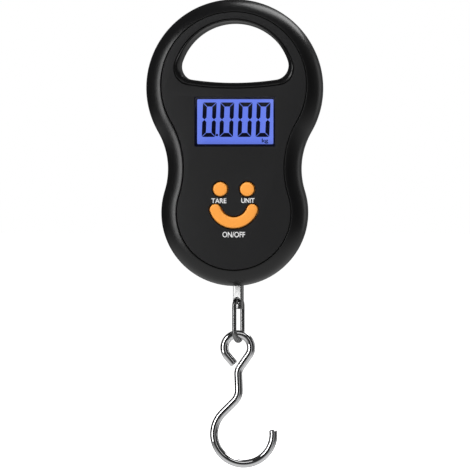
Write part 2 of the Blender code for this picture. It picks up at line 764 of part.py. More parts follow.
def load_cell():
    """Flat S-beam: two opposed slots and a double hole let its middle flex under load."""
    alloy = material("aluminium_alloy", (0.7, 0.71, 0.73), 0.35, 1.0)
    x_range = (HANG_X - CELL_HALF, HANG_X + CELL_HALF)
    cell = box("load_cell", x_range, CELL_Y, CELL_Z, alloy)
    through = (CELL_Y[0] - 1, CELL_Y[1] + 1)
    cut(cell, box("upper_slot", (x_range[0] - 1, x_range[1] - 3.5), through, (-60.2, -58.8)))
    cut(cell, box("lower_slot", (x_range[0] + 3.5, x_range[1] + 1), through, (-81.2, -79.8)))
    flex = rod("flex_hole_upper", (HANG_X, through[0], -66.4), (HANG_X, through[1], -66.4), 2.7)
    lower = rod("flex_hole_lower", (HANG_X, through[0], -73.6), (HANG_X, through[1], -73.6), 2.7)
    neck = box("flex_neck", (HANG_X - 0.6, HANG_X + 0.6), (through[0] + 0.1, through[1] - 0.1), (-73.0, -67.0))
    cut(cell, join(flex, lower, neck))
    cut(cell, box("head_window", (HANG_X - 3.2, HANG_X + 3.2), through, HEAD_WINDOW_Z))
    bottom, top = CELL_Z[0] - 1, HEAD_WINDOW_Z[0] + 1
    cut(cell, rod("shank_hole", (HANG_X, HANG_Y, bottom), (HANG_X, HANG_Y, top), SHANK_R + GAP, sides=20))
    for i, side in enumerate((-1, 1)):
        x = HANG_X + side * CELL_SCREW_X
        cut(cell, rod(f"cell_thread_{i}", (x, through[0], CELL_SCREW_Z), (x, through[1], CELL_SCREW_Z), 1.7, sides=12))
    foil = material("strain_foil", (0.75, 0.5, 0.2), 0.5)
    middle = (CELL_Y[0] + CELL_Y[1]) / 2
    for name, x in (("left", x_range[0] - 0.5), ("right", x_range[1] + 0.15)):
        box(f"strain_gauge_{name}", (x, x + 0.35), (middle - 1.8, middle + 1.8), (-73.0, -67.2), foil)
    return cell


# ====================================================== hanger, link and hook

def swivel_hanger(axis):
    """Headed shank that turns in the load cell, and a square bar with a cross hole for the link."""
    head_base = HEAD_WINDOW_Z[0] + GAP
    profile = [
        (0, head_base + 2.4), (HEAD_R - 0.4, head_base + 2.4), (HEAD_R, head_base + 2.0), (HEAD_R, head_base),
        (SHANK_R, head_base), (SHANK_R, BAR_TOP_Z - 0.8), (0, BAR_TOP_Z - 0.8),
    ]
    hanger = lathe("swivel_hanger", [(r, z - EYE_Z) for r, z in profile], (0, 0, 0), (0, 0, 1), steel(), sides=20)
    bar = box(
        "hanger_bar", (-BAR_HALF_X, BAR_HALF_X), (-BAR_HALF_Y, BAR_HALF_Y),
        (BAR_BOTTOM_Z - EYE_Z, BAR_TOP_Z - EYE_Z), bevel=0.3,
    )
    eye = rod("hanger_eye", (0, -3, 0), (0, 3, 0), EYE_R, sides=20)
    for tool in (bar, eye):
        tool.parent = axis
    join(hanger, bar)
    cut(hanger, eye)
    hanger.parent = axis
    return hanger


def link_route():
    """The link's centreline in its own plane (y, z), measured from the hanger's eye."""
    half, corner = LINK_HALF, LINK_TOP_CORNER_R
    low = LINK_BOTTOM_Z - EYE_Z + half
    top = arc((-(half - corner), -corner), corner, math.pi, math.pi / 2, 6)
    top += arc((half - corner, -corner), corner, math.pi / 2, 0, 6)
    bottom = arc((0, low), half, 0, -math.pi, 12)
    legs = [(half, -corner), (half, low + 4), (half, low + 8)]
    return top + [legs[0]] + legs[:0:-1] + bottom + [(-half, low), (-half, low + 4), (-half, low + 8)]


def link(axis):
    points = [(0.0, y, z) for y, z in link_route()]
    ring = wire("link", points, LINK_WIRE_R, steel(), cyclic=True, resolution=3)
    ring.parent = axis
    return ring


def fillet(before, corner, after, radius, steps=6):
    """Arc points that round a corner of a path in the x-z plane."""
    before, corner, after = Vector(before), Vector(corner), Vector(after)
    incoming, outgoing = (corner - before).normalized(), (after - corner).normalized()
    bend = incoming.angle(outgoing)
    reach = radius * math.tan(bend / 2)
    start, end = corner - incoming * reach, corner + outgoing * reach
    middle = corner + (outgoing - incoming).normalized() * (radius / math.cos(bend / 2))
    first, last = (start - middle).normalized(), (end - middle).normalized()
    return [tuple(middle + radius * first.slerp(last, i / steps)) for i in range(steps + 1)]


def hook_route():
    """The hook's centreline as (x, z): open eye, neck, stem, shoulder, round bend and tip."""
    eye_z = HOOK_TOP_Z - HOOK_EYE_R
    start, neck = HOOK_END_ANGLE, HOOK_NECK_ANGLE + math.tau
    leave = Vector((HOOK_EYE_R * math.cos(start), eye_z + HOOK_EYE_R * math.sin(start)))
    along = Vector((-math.sin(start), math.cos(start)))
    route = [tuple(leave + along * HOOK_END_LENGTH)]
    route += arc((0, eye_z), HOOK_EYE_R, start, neck - math.tau, 18)
    touch = Vector((HOOK_EYE_R * math.cos(neck), eye_z + HOOK_EYE_R * math.sin(neck)))
    down = Vector((math.sin(neck), -math.cos(neck)))
    neck_corner = touch + down * ((HOOK_STEM_X - touch.x) / down.x)
    quarter = math.radians(135)
    shoulder = Vector((
        HOOK_BEND_X + HOOK_BEND_R * math.cos(quarter), HOOK_BEND_Z + HOOK_BEND_R * math.sin(quarter),
    ))
    rise = HOOK_STEM_LOWER_X - shoulder.x
    shoulder_corner = Vector((HOOK_STEM_LOWER_X, shoulder.y + rise))
    route.append(tuple(touch))
    route += fillet(touch, neck_corner, shoulder_corner, HOOK_NECK_FILLET)
    route += fillet(neck_corner, shoulder_corner, shoulder, HOOK_SHOULDER_FILLET)
    bend = (HOOK_BEND_X, HOOK_BEND_Z)
    route += arc(bend, HOOK_BEND_R, quarter, math.tau + HOOK_TIP_ANGLE, 26)
    tip = math.tau + HOOK_TIP_ANGLE
    end = (HOOK_BEND_X + HOOK_BEND_R * math.cos(tip), HOOK_BEND_Z + HOOK_BEND_R * math.sin(tip))
    back = Vector(route[-1]) - Vector(end)
    return route + [tuple(Vector(end) + back.normalized() * 0.4), end]


def balance(route):
    """The x of the wire's centre of mass, so that the hook hangs plumb under the hanger."""
    total = moment = 0.0
    for (x0, z0), (x1, z1) in zip(route, route[1:]):
        length = math.hypot(x1 - x0, z1 - z0)
        total += length
        moment += length * (x0 + x1) / 2
    return moment / total


def hook(axis):
    route = hook_route()
    first, second = Vector(route[0]), Vector(route[1])
    blunt = first + (second - first).normalized() * 0.4
    route = [tuple(first), tuple(blunt), *route[1:]]
    shift = balance(route)
    points = [(x - shift, 0.0, z - HOOK_TOP_Z) for x, z in route]
    bent = wire("hook", points, HOOK_WIRE_R, steel(), resolution=3, end_scale=0.72)
    bent.parent = axis
    return bent


# ================================================================= power supply

def battery(name, x, base_z, upward):
    """A AAA cell with its button end up or down."""
    nub = 1.0
    body = BATTERY_LENGTH - nub
    profile = [
        (0, 0), (BATTERY_R - 0.4, 0), (BATTERY_R, 0.4), (BATTERY_R, body - 0.4),
        (BATTERY_R - 0.4, body), (1.9, body), (1.9, body + nub), (0, body + nub),
    ]
    label = material("battery_label", (0.1, 0.25, 0.12), 0.4)
    axis = (0, 0, 1) if upward else (0, 0, -1)
    return lathe(name, profile, (x, BATTERY_Y, base_z), axis, label, sides=24)


def contact_spring(name, x, z_low, z_high, wide_at_low):
    """Conical coil that presses on a cell's flat end."""
    turns, steps, wire_r = 3, 9, 0.28
    bottom, top = z_low + wire_r, z_high - wire_r
    points = []
    for i in range(turns * steps + 1):
        share = i / (turns * steps)
        spread = share if wide_at_low else 1 - share
        radius = 3.3 - 1.5 * spread
        turn = math.tau * i / steps
        points.append((x + radius * math.cos(turn), BATTERY_Y + radius * math.sin(turn), bottom + (top - bottom) * share))
    return wire(name, points, wire_r, brass(), resolution=2)


def power_supply():
    low, high = BAY_Z
    plate_low = low + GAP + CONTACT_THICK
    plate_high = high - GAP - CONTACT_THICK
    depth = (3.0, 11.0)
    box("contact_bridge", (-9.6, 9.6), depth, (low + GAP, plate_low), brass())
    box("positive_contact", (-BATTERY_X - 4.2, -BATTERY_X + 4.2), depth, (plate_high, high - GAP), brass())
    box("negative_contact", (BATTERY_X - 4.2, BATTERY_X + 4.2), depth, (plate_high, high - GAP), brass())
    spring_low = plate_low + GAP
    contact_spring("contact_spring_left", -BATTERY_X, spring_low, spring_low + SPRING_HEIGHT, True)
    spring_high = plate_high - GAP
    contact_spring("contact_spring_right", BATTERY_X, spring_high - SPRING_HEIGHT, spring_high, False)
    battery("battery_left", -BATTERY_X, spring_low + SPRING_HEIGHT + GAP, True)
    battery("battery_right", BATTERY_X, spring_high - SPRING_HEIGHT - GAP, False)


# ======================================================================= build

clear_scene()
for shell in (front_shell(), face_panel(), rear_shell(), battery_door()):
    smooth(shell)
case_screws()
display()
keys()
key_switches()
circuit_board()
leads()
anchor_plate()
load_cell()
power_supply()
hanger_axis = axis_empty("hanger_axis", (HANG_X, HANG_Y, EYE_Z), TURN)
swivel_hanger(hanger_axis)
link(hanger_axis)
hook_axis = axis_empty("hook_axis", (HANG_X, HANG_Y, HOOK_TOP_Z))
hook(hook_axis)
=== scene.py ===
"""Looks of a hand-held digital fish scale: gloss and matte black mouldings, a backlit display, orange keys,
chromed hanger, link and hook, and the pieces inside. Sections follow the order in which the scale is put
together. Lengths are millimetres while a piece is shaped, and metres once it is placed.
"""
import math

import bmesh
import bpy
from mathutils import Matrix, Vector


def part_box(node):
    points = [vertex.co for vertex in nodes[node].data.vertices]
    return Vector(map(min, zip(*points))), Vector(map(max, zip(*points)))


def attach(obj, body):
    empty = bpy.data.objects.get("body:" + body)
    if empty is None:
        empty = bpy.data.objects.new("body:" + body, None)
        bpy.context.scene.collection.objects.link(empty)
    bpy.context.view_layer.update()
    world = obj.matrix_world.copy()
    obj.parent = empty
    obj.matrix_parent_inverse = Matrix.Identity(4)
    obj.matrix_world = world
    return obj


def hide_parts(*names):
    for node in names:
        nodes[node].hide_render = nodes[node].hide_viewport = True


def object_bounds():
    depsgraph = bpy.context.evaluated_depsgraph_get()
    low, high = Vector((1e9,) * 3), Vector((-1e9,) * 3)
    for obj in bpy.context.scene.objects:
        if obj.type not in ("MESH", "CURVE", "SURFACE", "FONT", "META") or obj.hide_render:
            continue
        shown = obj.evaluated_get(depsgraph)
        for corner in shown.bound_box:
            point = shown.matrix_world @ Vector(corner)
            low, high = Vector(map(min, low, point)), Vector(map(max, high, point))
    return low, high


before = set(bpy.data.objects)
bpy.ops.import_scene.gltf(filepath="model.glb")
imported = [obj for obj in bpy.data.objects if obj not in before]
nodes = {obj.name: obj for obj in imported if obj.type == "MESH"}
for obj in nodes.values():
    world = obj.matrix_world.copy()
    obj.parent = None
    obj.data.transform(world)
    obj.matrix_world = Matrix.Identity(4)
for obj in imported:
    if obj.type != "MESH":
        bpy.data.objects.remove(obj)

cad_low, cad_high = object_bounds()


# ================================================================ front shell
# Glossy black ABS moulding: a rounded rim that rises to a crest beside the inlaid panel, a rounded lip round
# the handle opening, and a flat floor that the panel, display and keys sit on. The four case screws pull the
# rear shell onto it.

MM = 0.001
GAP = 0.3
PARTING = 0.15
TONGUE_INSET = 0.6
TONGUE_GAP = 0.01
SIDE_Y = 5.0
WALL = 1.8
LOWER_LOBE_R = 30.7
WAIST_HALF = 27.9
PANEL_LOWER_R = 23.7
PANEL_WAIST_HALF = 20.8
FLOOR = (-12.0, -10.5)
CREST_ANGLE = math.radians(68)
GRIP_TOP_R = 23.6
GRIP_CORNER_R = 6.0
GRIP_BOTTOM_R = 120.0
GRIP_BOTTOM_Z = -25.2
GRIP_HALF = 22.6
LIP_SIDE, LIP_TOP, LIP_BOTTOM = 2.3, 1.3, 2.4
LIP_DEPTH = 5.0
LIP_FACE = 13.6
HANG_X, HANG_Y = 1.5, -2.25
EXIT_R = 3.0
ROUND_KEY_R = 2.95
SMILE_R, SMILE_Z = 8.15, -75.45
SMILE_HALF_ANGLE = math.radians(71)
SMILE_HALF_WIDTH = 2.3
KEY_CLEARANCE = 0.4


def box_mm(node):
    """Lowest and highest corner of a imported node, in millimetres."""
    low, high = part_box(node)
    return Vector(low) / MM, Vector(high) / MM


def centre_of(node):
    low, high = box_mm(node)
    return (low + high) / 2


def places(prefix, names):
    """The (x, z) places of a set of like nodes."""
    centres = [centre_of(f"{prefix}_{name}") for name in names]
    return [(centre.x, centre.z) for centre in centres]


case_low, case_high = box_mm("front_shell")
panel_low, panel_high = box_mm("face_panel")
UPPER_R = case_high.x
UPPER_Z = case_high.z - UPPER_R
LOWER_Z = case_low.z + LOWER_LOBE_R
PANEL_UPPER_R = panel_high.x
PANEL_UPPER_Z = panel_high.z - PANEL_UPPER_R
FRONT_Y = cad_low.y / MM
BACK_Y = cad_high.y / MM
case_screw_places = places("case_screw", ("upper_left", "upper_right", "lower_left", "lower_right"))
board_screw_places = places("board_screw", range(1, 5))
anchor_screw_places = places("anchor_screw", range(1, 5))
key_places = {name: centre_of(f"{name}_plunger") for name in ("tare", "unit", "power")}


def arc(centre, radius, start, end, steps):
    """Points (x, z) from angle start up to, but not including, angle end."""
    angles = [start + (end - start) * i / steps for i in range(steps)]
    return [(centre[0] + radius * math.cos(a), centre[1] + radius * math.sin(a)) for a in angles]


def gourd(upper_r, upper_z, lower_r, waist_half, inset):
    """Two lobes joined by hollow waist arcs, as (x, z) points."""
    span = upper_z - LOWER_Z
    low, high = 1.0, 1000.0
    for _ in range(60):
        waist_r = (low + high) / 2
        side = (waist_r + waist_half) ** 2
        reach = sum(math.sqrt(max((waist_r + r) ** 2 - side, 0.0)) for r in (upper_r, lower_r))
        low, high = (waist_r, high) if reach < span else (low, waist_r)
    waist_x = waist_half + waist_r
    waist_z = LOWER_Z + math.sqrt((waist_r + lower_r) ** 2 - waist_x**2)
    above = math.atan2(waist_z - upper_z, waist_x)
    below = math.atan2(waist_z - LOWER_Z, waist_x)
    hollow = waist_r + inset
    points = arc((0, upper_z), upper_r - inset, above, math.pi - above, 110)
    points += arc((-waist_x, waist_z), hollow, -above, -below, 30)
    points += arc((0, LOWER_Z), lower_r - inset, math.pi - below, math.tau + below, 90)
    return points + arc((waist_x, waist_z), hollow, math.pi + below, math.pi + above, 30)


def case_outline(inset=0.0):
    return gourd(UPPER_R, UPPER_Z, LOWER_LOBE_R, WAIST_HALF, inset)


def panel_outline(inset=0.0):
    return gourd(PANEL_UPPER_R, PANEL_UPPER_Z, PANEL_LOWER_R, PANEL_WAIST_HALF, inset)


def grip_outline(offset=0.0, share=0.0):
    """The handle opening as (x, z) points, grown by offset; share 1 is the lip's outer edge."""
    bottom_z = GRIP_BOTTOM_Z + GRIP_BOTTOM_R
    to_top = GRIP_TOP_R - GRIP_CORNER_R
    to_bottom = GRIP_BOTTOM_R - GRIP_CORNER_R
    corner_z = (to_top**2 - to_bottom**2 - GRIP_TOP_R**2 + bottom_z**2) / (2 * (bottom_z + GRIP_TOP_R))
    corner_x = math.sqrt(to_top**2 - (corner_z + GRIP_TOP_R) ** 2)
    side = math.atan2(corner_z + GRIP_TOP_R, corner_x)
    base = math.atan2(corner_z - bottom_z, corner_x)
    corner_r = GRIP_CORNER_R + offset
    points = arc((0, -GRIP_TOP_R), GRIP_TOP_R + offset, side, math.pi - side, 80)
    points += arc((-corner_x, corner_z), corner_r, math.pi - side, math.pi - base, 18)
    points += arc((0, bottom_z), GRIP_BOTTOM_R + offset, math.pi - base, math.tau + base, 34)
    points += arc((corner_x, corner_z), corner_r, math.tau + base, math.tau + side, 18)
    wider = 1 + share * LIP_SIDE / GRIP_HALF
    taller = 1 + share * (LIP_TOP + LIP_BOTTOM) / -GRIP_BOTTOM_Z
    return [(x * wider, z * taller + share * LIP_TOP) for x, z in points]


def smile_outline(half_width):
    """The curved key: a stroke along an arc, with round ends."""
    left = -math.pi / 2 - SMILE_HALF_ANGLE
    right = -math.pi / 2 + SMILE_HALF_ANGLE
    points = arc((0, SMILE_Z), SMILE_R + half_width, left, right, 56)
    for angle, start in ((right, right), (left, left + math.pi)):
        end = (SMILE_R * math.cos(angle), SMILE_Z + SMILE_R * math.sin(angle))
        points += arc(end, half_width, start, start + math.pi, 20)
        if angle == right:
            points += arc((0, SMILE_Z), SMILE_R - half_width, right, left, 40)
    return points


def key_outline(name, grow=0.0):
    """The outline of the tare, unit or power key, grown by some clearance."""
    if name == "power":
        return smile_outline(SMILE_HALF_WIDTH + grow)
    place = key_places[name]
    return arc((place.x, place.z), ROUND_KEY_R + grow, 0, math.tau, 72)


def between(first, second, share):
    return [(x + (u - x) * share, z + (w - z) * share) for (x, z), (u, w) in zip(first, second)]


def ring_at(outline, y):
    return [(x, y, z) for x, z in outline]


def place_mesh(name, bm, material=None):
    """Turns a bmesh in millimetres into an object in metres, with outward faces."""
    bmesh.ops.recalc_face_normals(bm, faces=bm.faces)
    bmesh.ops.scale(bm, vec=(MM, MM, MM), verts=bm.verts)
    mesh = bpy.data.meshes.new(name)
    bm.to_mesh(mesh)
    bm.free()
    made = bpy.data.objects.new(name, mesh)
    bpy.context.scene.collection.objects.link(made)
    if material:
        mesh.materials.append(material)
    return made


def loft(name, rings, material=None, closed=False):
    """A solid through rings of equally many points: capped at both ends, or closed on itself."""
    bm = bmesh.new()
    loops = [[bm.verts.new(point) for point in ring] for ring in rings]
    followers = loops[1:] + ([loops[0]] if closed else [])
    for near, far in zip(loops, followers):
        for i in range(len(near)):
            j = (i + 1) % len(near)
            bm.faces.new((near[i], near[j], far[j], far[i]))
    if not closed:
        bm.faces.new(loops[0])
        bm.faces.new(loops[-1])
    return place_mesh(name, bm, material)


def prism(name, outline, y_range, material=None):
    return loft(name, [ring_at(outline, y) for y in y_range], material)


def block(name, x_range, y_range, z_range, material=None, edge=0.0):
    """A box, with its edges rounded where edge is given."""
    bm = bmesh.new()
    bmesh.ops.create_cube(bm, size=1.0)
    spans = (x_range, y_range, z_range)
    bmesh.ops.scale(bm, vec=[high - low for low, high in spans], verts=bm.verts)
    bmesh.ops.translate(bm, vec=[(low + high) / 2 for low, high in spans], verts=bm.verts)
    if edge:
        bmesh.ops.bevel(bm, geom=bm.edges[:], offset=edge, segments=3, profile=0.5, affect="EDGES")
    return place_mesh(name, bm, material)


def rod(name, start, end, radius, material=None, sides=48):
    """A plain cylinder between two points."""
    start, end = Vector(start), Vector(end)
    turn = (end - start).to_track_quat("Z", "Y").to_matrix().to_4x4()
    bm = bmesh.new()
    bmesh.ops.create_cone(
        bm, cap_ends=True, segments=sides, radius1=radius, radius2=radius,
        depth=(end - start).length, matrix=Matrix.Translation((start + end) / 2) @ turn,
    )
    return place_mesh(name, bm, material)


def evaluated_mesh(piece):
    """The piece's mesh with its modifiers applied."""
    graph = bpy.context.evaluated_depsgraph_get()
    return bpy.data.meshes.new_from_object(piece.evaluated_get(graph), depsgraph=graph)


def shape_with(piece, operation, tools):
    """Applies one Boolean for each tool, and removes the tools."""
    for tool in tools:
        modifier = piece.modifiers.new("shape", "BOOLEAN")
        modifier.operation = operation
        modifier.solver = "EXACT"
        modifier.object = tool
        shaped = evaluated_mesh(piece)
        piece.modifiers.clear()
        piece.data = shaped
        bpy.data.objects.remove(tool)
    return piece


def cut(piece, *tools):
    return shape_with(piece, "DIFFERENCE", tools)


def join(piece, *tools):
    return shape_with(piece, "UNION", tools)


def keep_inside(piece, *tools):
    return shape_with(piece, "INTERSECT", tools)


def smooth(piece, angle=32.0):
    piece.data.shade_smooth()
    piece.data.set_sharp_from_angle(angle=math.radians(angle))
    return piece


def settle(piece, body, slot, *stands_for):
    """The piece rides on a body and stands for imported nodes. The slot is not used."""
    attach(piece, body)
    if stands_for:
        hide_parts(*stands_for)
    return piece


def add_node(tree, kind, **values):
    """Adds a node. A value is a number, a colour or the socket that feeds that input; _0 is the first."""
    made = tree.nodes.new(kind)
    for name, value in values.items():
        socket = made.inputs[int(name[1:])] if name[0] == "_" else made.inputs[name.replace("_", " ")]
        if isinstance(value, bpy.types.NodeSocket):
            tree.links.new(value, socket)
        else:
            socket.default_value = value
    return made


def calculate(tree, operation, *values):
    """A Math node's result."""
    made = add_node(tree, "ShaderNodeMath", **{f"_{i}": value for i, value in enumerate(values)})
    made.operation = operation
    return made.outputs[0]


def new_group(name, colours_in, numbers_in, outputs):
    """An empty node group with named sockets: its tree, its inputs and its output node."""
    tree = bpy.data.node_groups.new(name, "ShaderNodeTree")
    for side, names, socket_type in (
        ("INPUT", colours_in, "NodeSocketColor"), ("INPUT", numbers_in, "NodeSocketFloat"),
        ("OUTPUT", outputs[:1], "NodeSocketColor"), ("OUTPUT", outputs[1:], "NodeSocketFloat"),
    ):
        for socket_name in names:
            tree.interface.new_socket(socket_name, in_out=side, socket_type=socket_type)
    return tree, tree.nodes.new("NodeGroupInput").outputs, tree.nodes.new("NodeGroupOutput")


def object_noise(tree, size, detail=2.0, stretch=(1.0, 1.0, 1.0)):
    """Noise on Object coordinates, finer along an axis where stretch is larger."""
    place = tree.nodes.new("ShaderNodeTexCoord").outputs["Object"]
    mapping = add_node(tree, "ShaderNodeMapping", Vector=place, Scale=stretch)
    return add_node(tree, "ShaderNodeTexNoise", Vector=mapping.outputs[0], Scale=size,
                    Detail=detail).outputs[0]


def varied(tree, colour, noise, amount):
    """The colour made lighter and darker by the noise."""
    swing = calculate(tree, "SUBTRACT", noise, 0.5)
    shade = calculate(tree, "MULTIPLY_ADD", swing, calculate(tree, "MULTIPLY", amount, 4.0), 1.0)
    tinted = add_node(tree, "ShaderNodeVectorMath", _0=colour)
    tinted.operation = "SCALE"
    tree.links.new(shade, tinted.inputs["Scale"])
    return tinted.outputs[0]


def moulded_skin_group():
    """Moulded plastic: fine tool grain, faint flow mottle, and polish that varies where hands rub it."""
    tree, given, out = new_group(
        "moulded skin", ["Colour"], ["Grain Size", "Roughness", "Spread", "Mottle"],
        ["Colour", "Roughness", "Height"],
    )
    flow = object_noise(tree, 60.0, 4.0)
    rubbed = object_noise(tree, 380.0, 3.0)
    grain = object_noise(tree, given["Grain Size"])
    swing = calculate(tree, "SUBTRACT", rubbed, 0.5)
    rough = calculate(tree, "MULTIPLY_ADD", swing, given["Spread"], given["Roughness"])
    tree.links.new(varied(tree, given["Colour"], flow, given["Mottle"]), out.inputs["Colour"])
    tree.links.new(rough, out.inputs["Roughness"])
    tree.links.new(grain, out.inputs["Height"])
    return tree


MOULDED_SKIN = moulded_skin_group()


def skinned(name, group, colour, bump, **values):
    """A material whose colour, roughness and relief come from one of the shared groups."""
    made = bpy.data.materials.new(name)
    made.use_nodes = True
    tree = made.node_tree
    shader = tree.nodes["Principled BSDF"]
    skin = tree.nodes.new("ShaderNodeGroup")
    skin.node_tree = group
    skin.inputs["Colour"].default_value = (*colour, 1.0)
    for socket_name, value in values.items():
        skin.inputs[socket_name.replace("_", " ")].default_value = value
    relief = add_node(tree, "ShaderNodeBump", Height=skin.outputs["Height"], Strength=bump, Distance=0.00005)
    tree.links.new(skin.outputs["Colour"], shader.inputs["Base Color"])
    tree.links.new(skin.outputs["Roughness"], shader.inputs["Roughness"])
    tree.links.new(relief.outputs[0], shader.inputs["Normal"])
    return made


def moulded(name, colour, roughness, grain=2400.0, spread=0.1, mottle=0.1, bump=0.15, shine=0.5):
    """Moulded plastic or rubber."""
    made = skinned(
        name, MOULDED_SKIN, colour, bump, Roughness=roughness, Grain_Size=grain, Spread=spread, Mottle=mottle,
    )
    made.node_tree.nodes["Principled BSDF"].inputs["Specular IOR Level"].default_value = shine
    return made


gloss_black = moulded("gloss black plastic", (0.006, 0.006, 0.0063), 0.3, grain=700.0, bump=0.03)


def rim_rings(floor_y):
    """The rim's skin: parting edge, side, crest beside the panel, and down the recess wall to floor_y."""
    outer, inner = case_outline(), panel_outline()
    depth = (FRONT_Y + SIDE_Y) / math.sin(CREST_ANGLE)
    last_angle = math.radians(64)
    rings = [ring_at(case_outline(0.18), -PARTING), ring_at(case_outline(0.05), -PARTING - 0.06)]
    rings += [ring_at(outer, -PARTING - 0.2), ring_at(outer, -2.5), ring_at(outer, -SIDE_Y + 0.6)]
    for i in range(25):
        angle = last_angle * i / 24
        share = (1 - math.cos(angle)) / (1 - math.cos(CREST_ANGLE))
        rings.append(ring_at(between(outer, inner, share), -SIDE_Y + depth * math.sin(angle)))
    for offset, y in ((0.52, -13.775), (0.43, -13.79), (0.355, -13.735), (0.31, -13.62), (GAP, -13.45)):
        rings.append(ring_at(panel_outline(-offset), y))
    return rings + [ring_at(panel_outline(-GAP), floor_y)]


def front_cavity_rings():
    outer, inner = case_outline(WALL), panel_outline(WALL / 2)
    depth = (FRONT_Y + SIDE_Y) / math.sin(CREST_ANGLE)
    rings = [ring_at(outer, 1.0), ring_at(outer, -SIDE_Y)]
    for degrees in (10, 20, 30):
        angle = math.radians(degrees)
        share = (1 - math.cos(angle)) / (1 - math.cos(CREST_ANGLE))
        rings.append(ring_at(between(outer, inner, share), -SIDE_Y + depth * math.sin(angle)))
    return rings + [ring_at(inner, FLOOR[1])]


def lip_sleeve(name, root_y):
    """The wall round the handle opening, with the rounded lip that stands up inside the panel."""
    rings = [ring_at(grip_outline(0.18), -PARTING), ring_at(grip_outline(), -PARTING - 0.2)]
    for i in range(15):
        angle = math.radians(72) * i / 14
        y = LIP_DEPTH - LIP_FACE - LIP_DEPTH * math.sin(angle)
        rings.append(ring_at(grip_outline(0.0, 1 - math.cos(angle)), y))
    for offset, share, y in (
        (0.0, 0.8, 13.46), (-0.42, 1.0, 13.52), (-0.34, 1.0, 13.46), (-GAP, 1.0, 13.3), (-GAP, 1.0, -root_y),
        (WALL, 0.5, -root_y), (WALL, 0.5, PARTING),
    ):
        rings.append(ring_at(grip_outline(offset, share), -y))
    return loft(name, rings, gloss_black, closed=True)


def exit_hole():
    """Cutter for the round hole in the case bottom that the hanger comes out of."""
    low, high = case_low.z - 2, box_mm("load_cell")[0].z - 2
    return rod("exit_hole", (HANG_X, HANG_Y, low), (HANG_X, HANG_Y, high), EXIT_R, sides=64)


def front_shell():
    shell = loft("front_shell_moulding", rim_rings(FLOOR[0]), gloss_black)
    cut(shell, loft("front_cavity", front_cavity_rings()))
    root = FLOOR[1] - 0.7
    board_front = box_mm("circuit_board")[0].y
    bosses = [rod("case_boss", (x, root, z), (x, -PARTING, z), 3.0) for x, z in case_screw_places]
    bosses += [rod("board_boss", (x, root, z), (x, board_front - GAP, z), 2.2) for x, z in board_screw_places]
    join(shell, *bosses)
    through = (FLOOR[0] - 1, FLOOR[1] + 1)
    cut(shell, prism("floor_grip_hole", grip_outline(0.45, 0.25), through))
    join(shell, lip_sleeve("front_lip", root))
    tongue = prism("seam_tongue", case_outline(TONGUE_INSET), (-1.0, PARTING - TONGUE_GAP))
    join(shell, cut(tongue, prism("tongue_core", case_outline(WALL - 0.1), (-2.0, 1.0))))
    cut(shell, block("display_opening", (-18.5, 18.5), through, (-56.0, -30.4)))
    cut(shell, *[prism("key_hole", key_outline(name, KEY_CLEARANCE), through) for name in key_places])
    cut(shell, *[rod("case_pilot", (x, -8.5, z), (x, 1.0, z), 1.3) for x, z in case_screw_places])
    cut(shell, *[rod("board_pilot", (x, FLOOR[1] + 0.4, z), (x, -5, z), 1.0) for x, z in board_screw_places])
    return cut(shell, exit_hole())


settle(smooth(front_shell()), "case", "gloss_case", "front_shell")


# ================================================================= face panel
# Matte black ABS plate with a fine spark-eroded grain, glued onto the shell's floor inside the rim. Its edges
# are broken by a small chamfer, and it is cut out for the handle opening, the display and the keys.

PANEL_CHAMFER = 0.15
KEY_HOLE_CHAMFER = 0.05
KEY_RING = 0.15
WINDOW_X = (-16.3, 17.2)
WINDOW_Z = (-51.8, -31.2)
matte_black = moulded("matte black panel", (0.0105, 0.0105, 0.011), 0.56, grain=5200.0, mottle=0.04,
                      bump=0.5, shine=0.45)


def rounded_rectangle(x_range, z_range, corner, grow=0.0):
    """Outline of a rectangle with rounded corners, grown on every side."""
    (left, right), (low, high) = x_range, z_range
    points = []
    for quarter, (x, z) in enumerate((
        (right - corner, high - corner), (left + corner, high - corner),
        (left + corner, low + corner), (right - corner, low + corner),
    )):
        points += arc((x, z), corner + grow, quarter * math.pi / 2, (quarter + 1) * math.pi / 2, 6)
    return points


def chamfered_hole(outline_at, face_y, back_y, chamfer=PANEL_CHAMFER):
    """Cutter through a plate that faces the front, leaving a chamfer round the hole's front edge."""
    steps = ((0.0, back_y), (0.0, face_y + chamfer), (2 * chamfer, face_y - chamfer))
    return loft("chamfered_hole", [ring_at(outline_at(grow), y) for grow, y in steps])


def face_panel():
    face, back = panel_low.y, panel_high.y
    edge = ((0.12, back), (0.0, back - 0.12), (0.0, face + 0.2), (0.04, face + 0.09), (0.11, face + 0.025),
            (0.2, face))
    plate = loft("face_panel_plate", [ring_at(panel_outline(inset), y) for inset, y in edge], matte_black)
    behind = back + 1
    cut(plate, chamfered_hole(lambda grow: grip_outline(0.1 + grow, 1.0), face, behind))
    cut(plate, chamfered_hole(lambda grow: rounded_rectangle(WINDOW_X, WINDOW_Z, 0.35, grow), face, behind))
    for name in key_places:
        cut(plate, chamfered_hole(lambda grow: key_outline(name, KEY_CLEARANCE + KEY_RING + grow), face,
                                  behind, KEY_HOLE_CHAMFER))
    return plate


settle(smooth(face_panel()), "case", "face_panel", "face_panel")
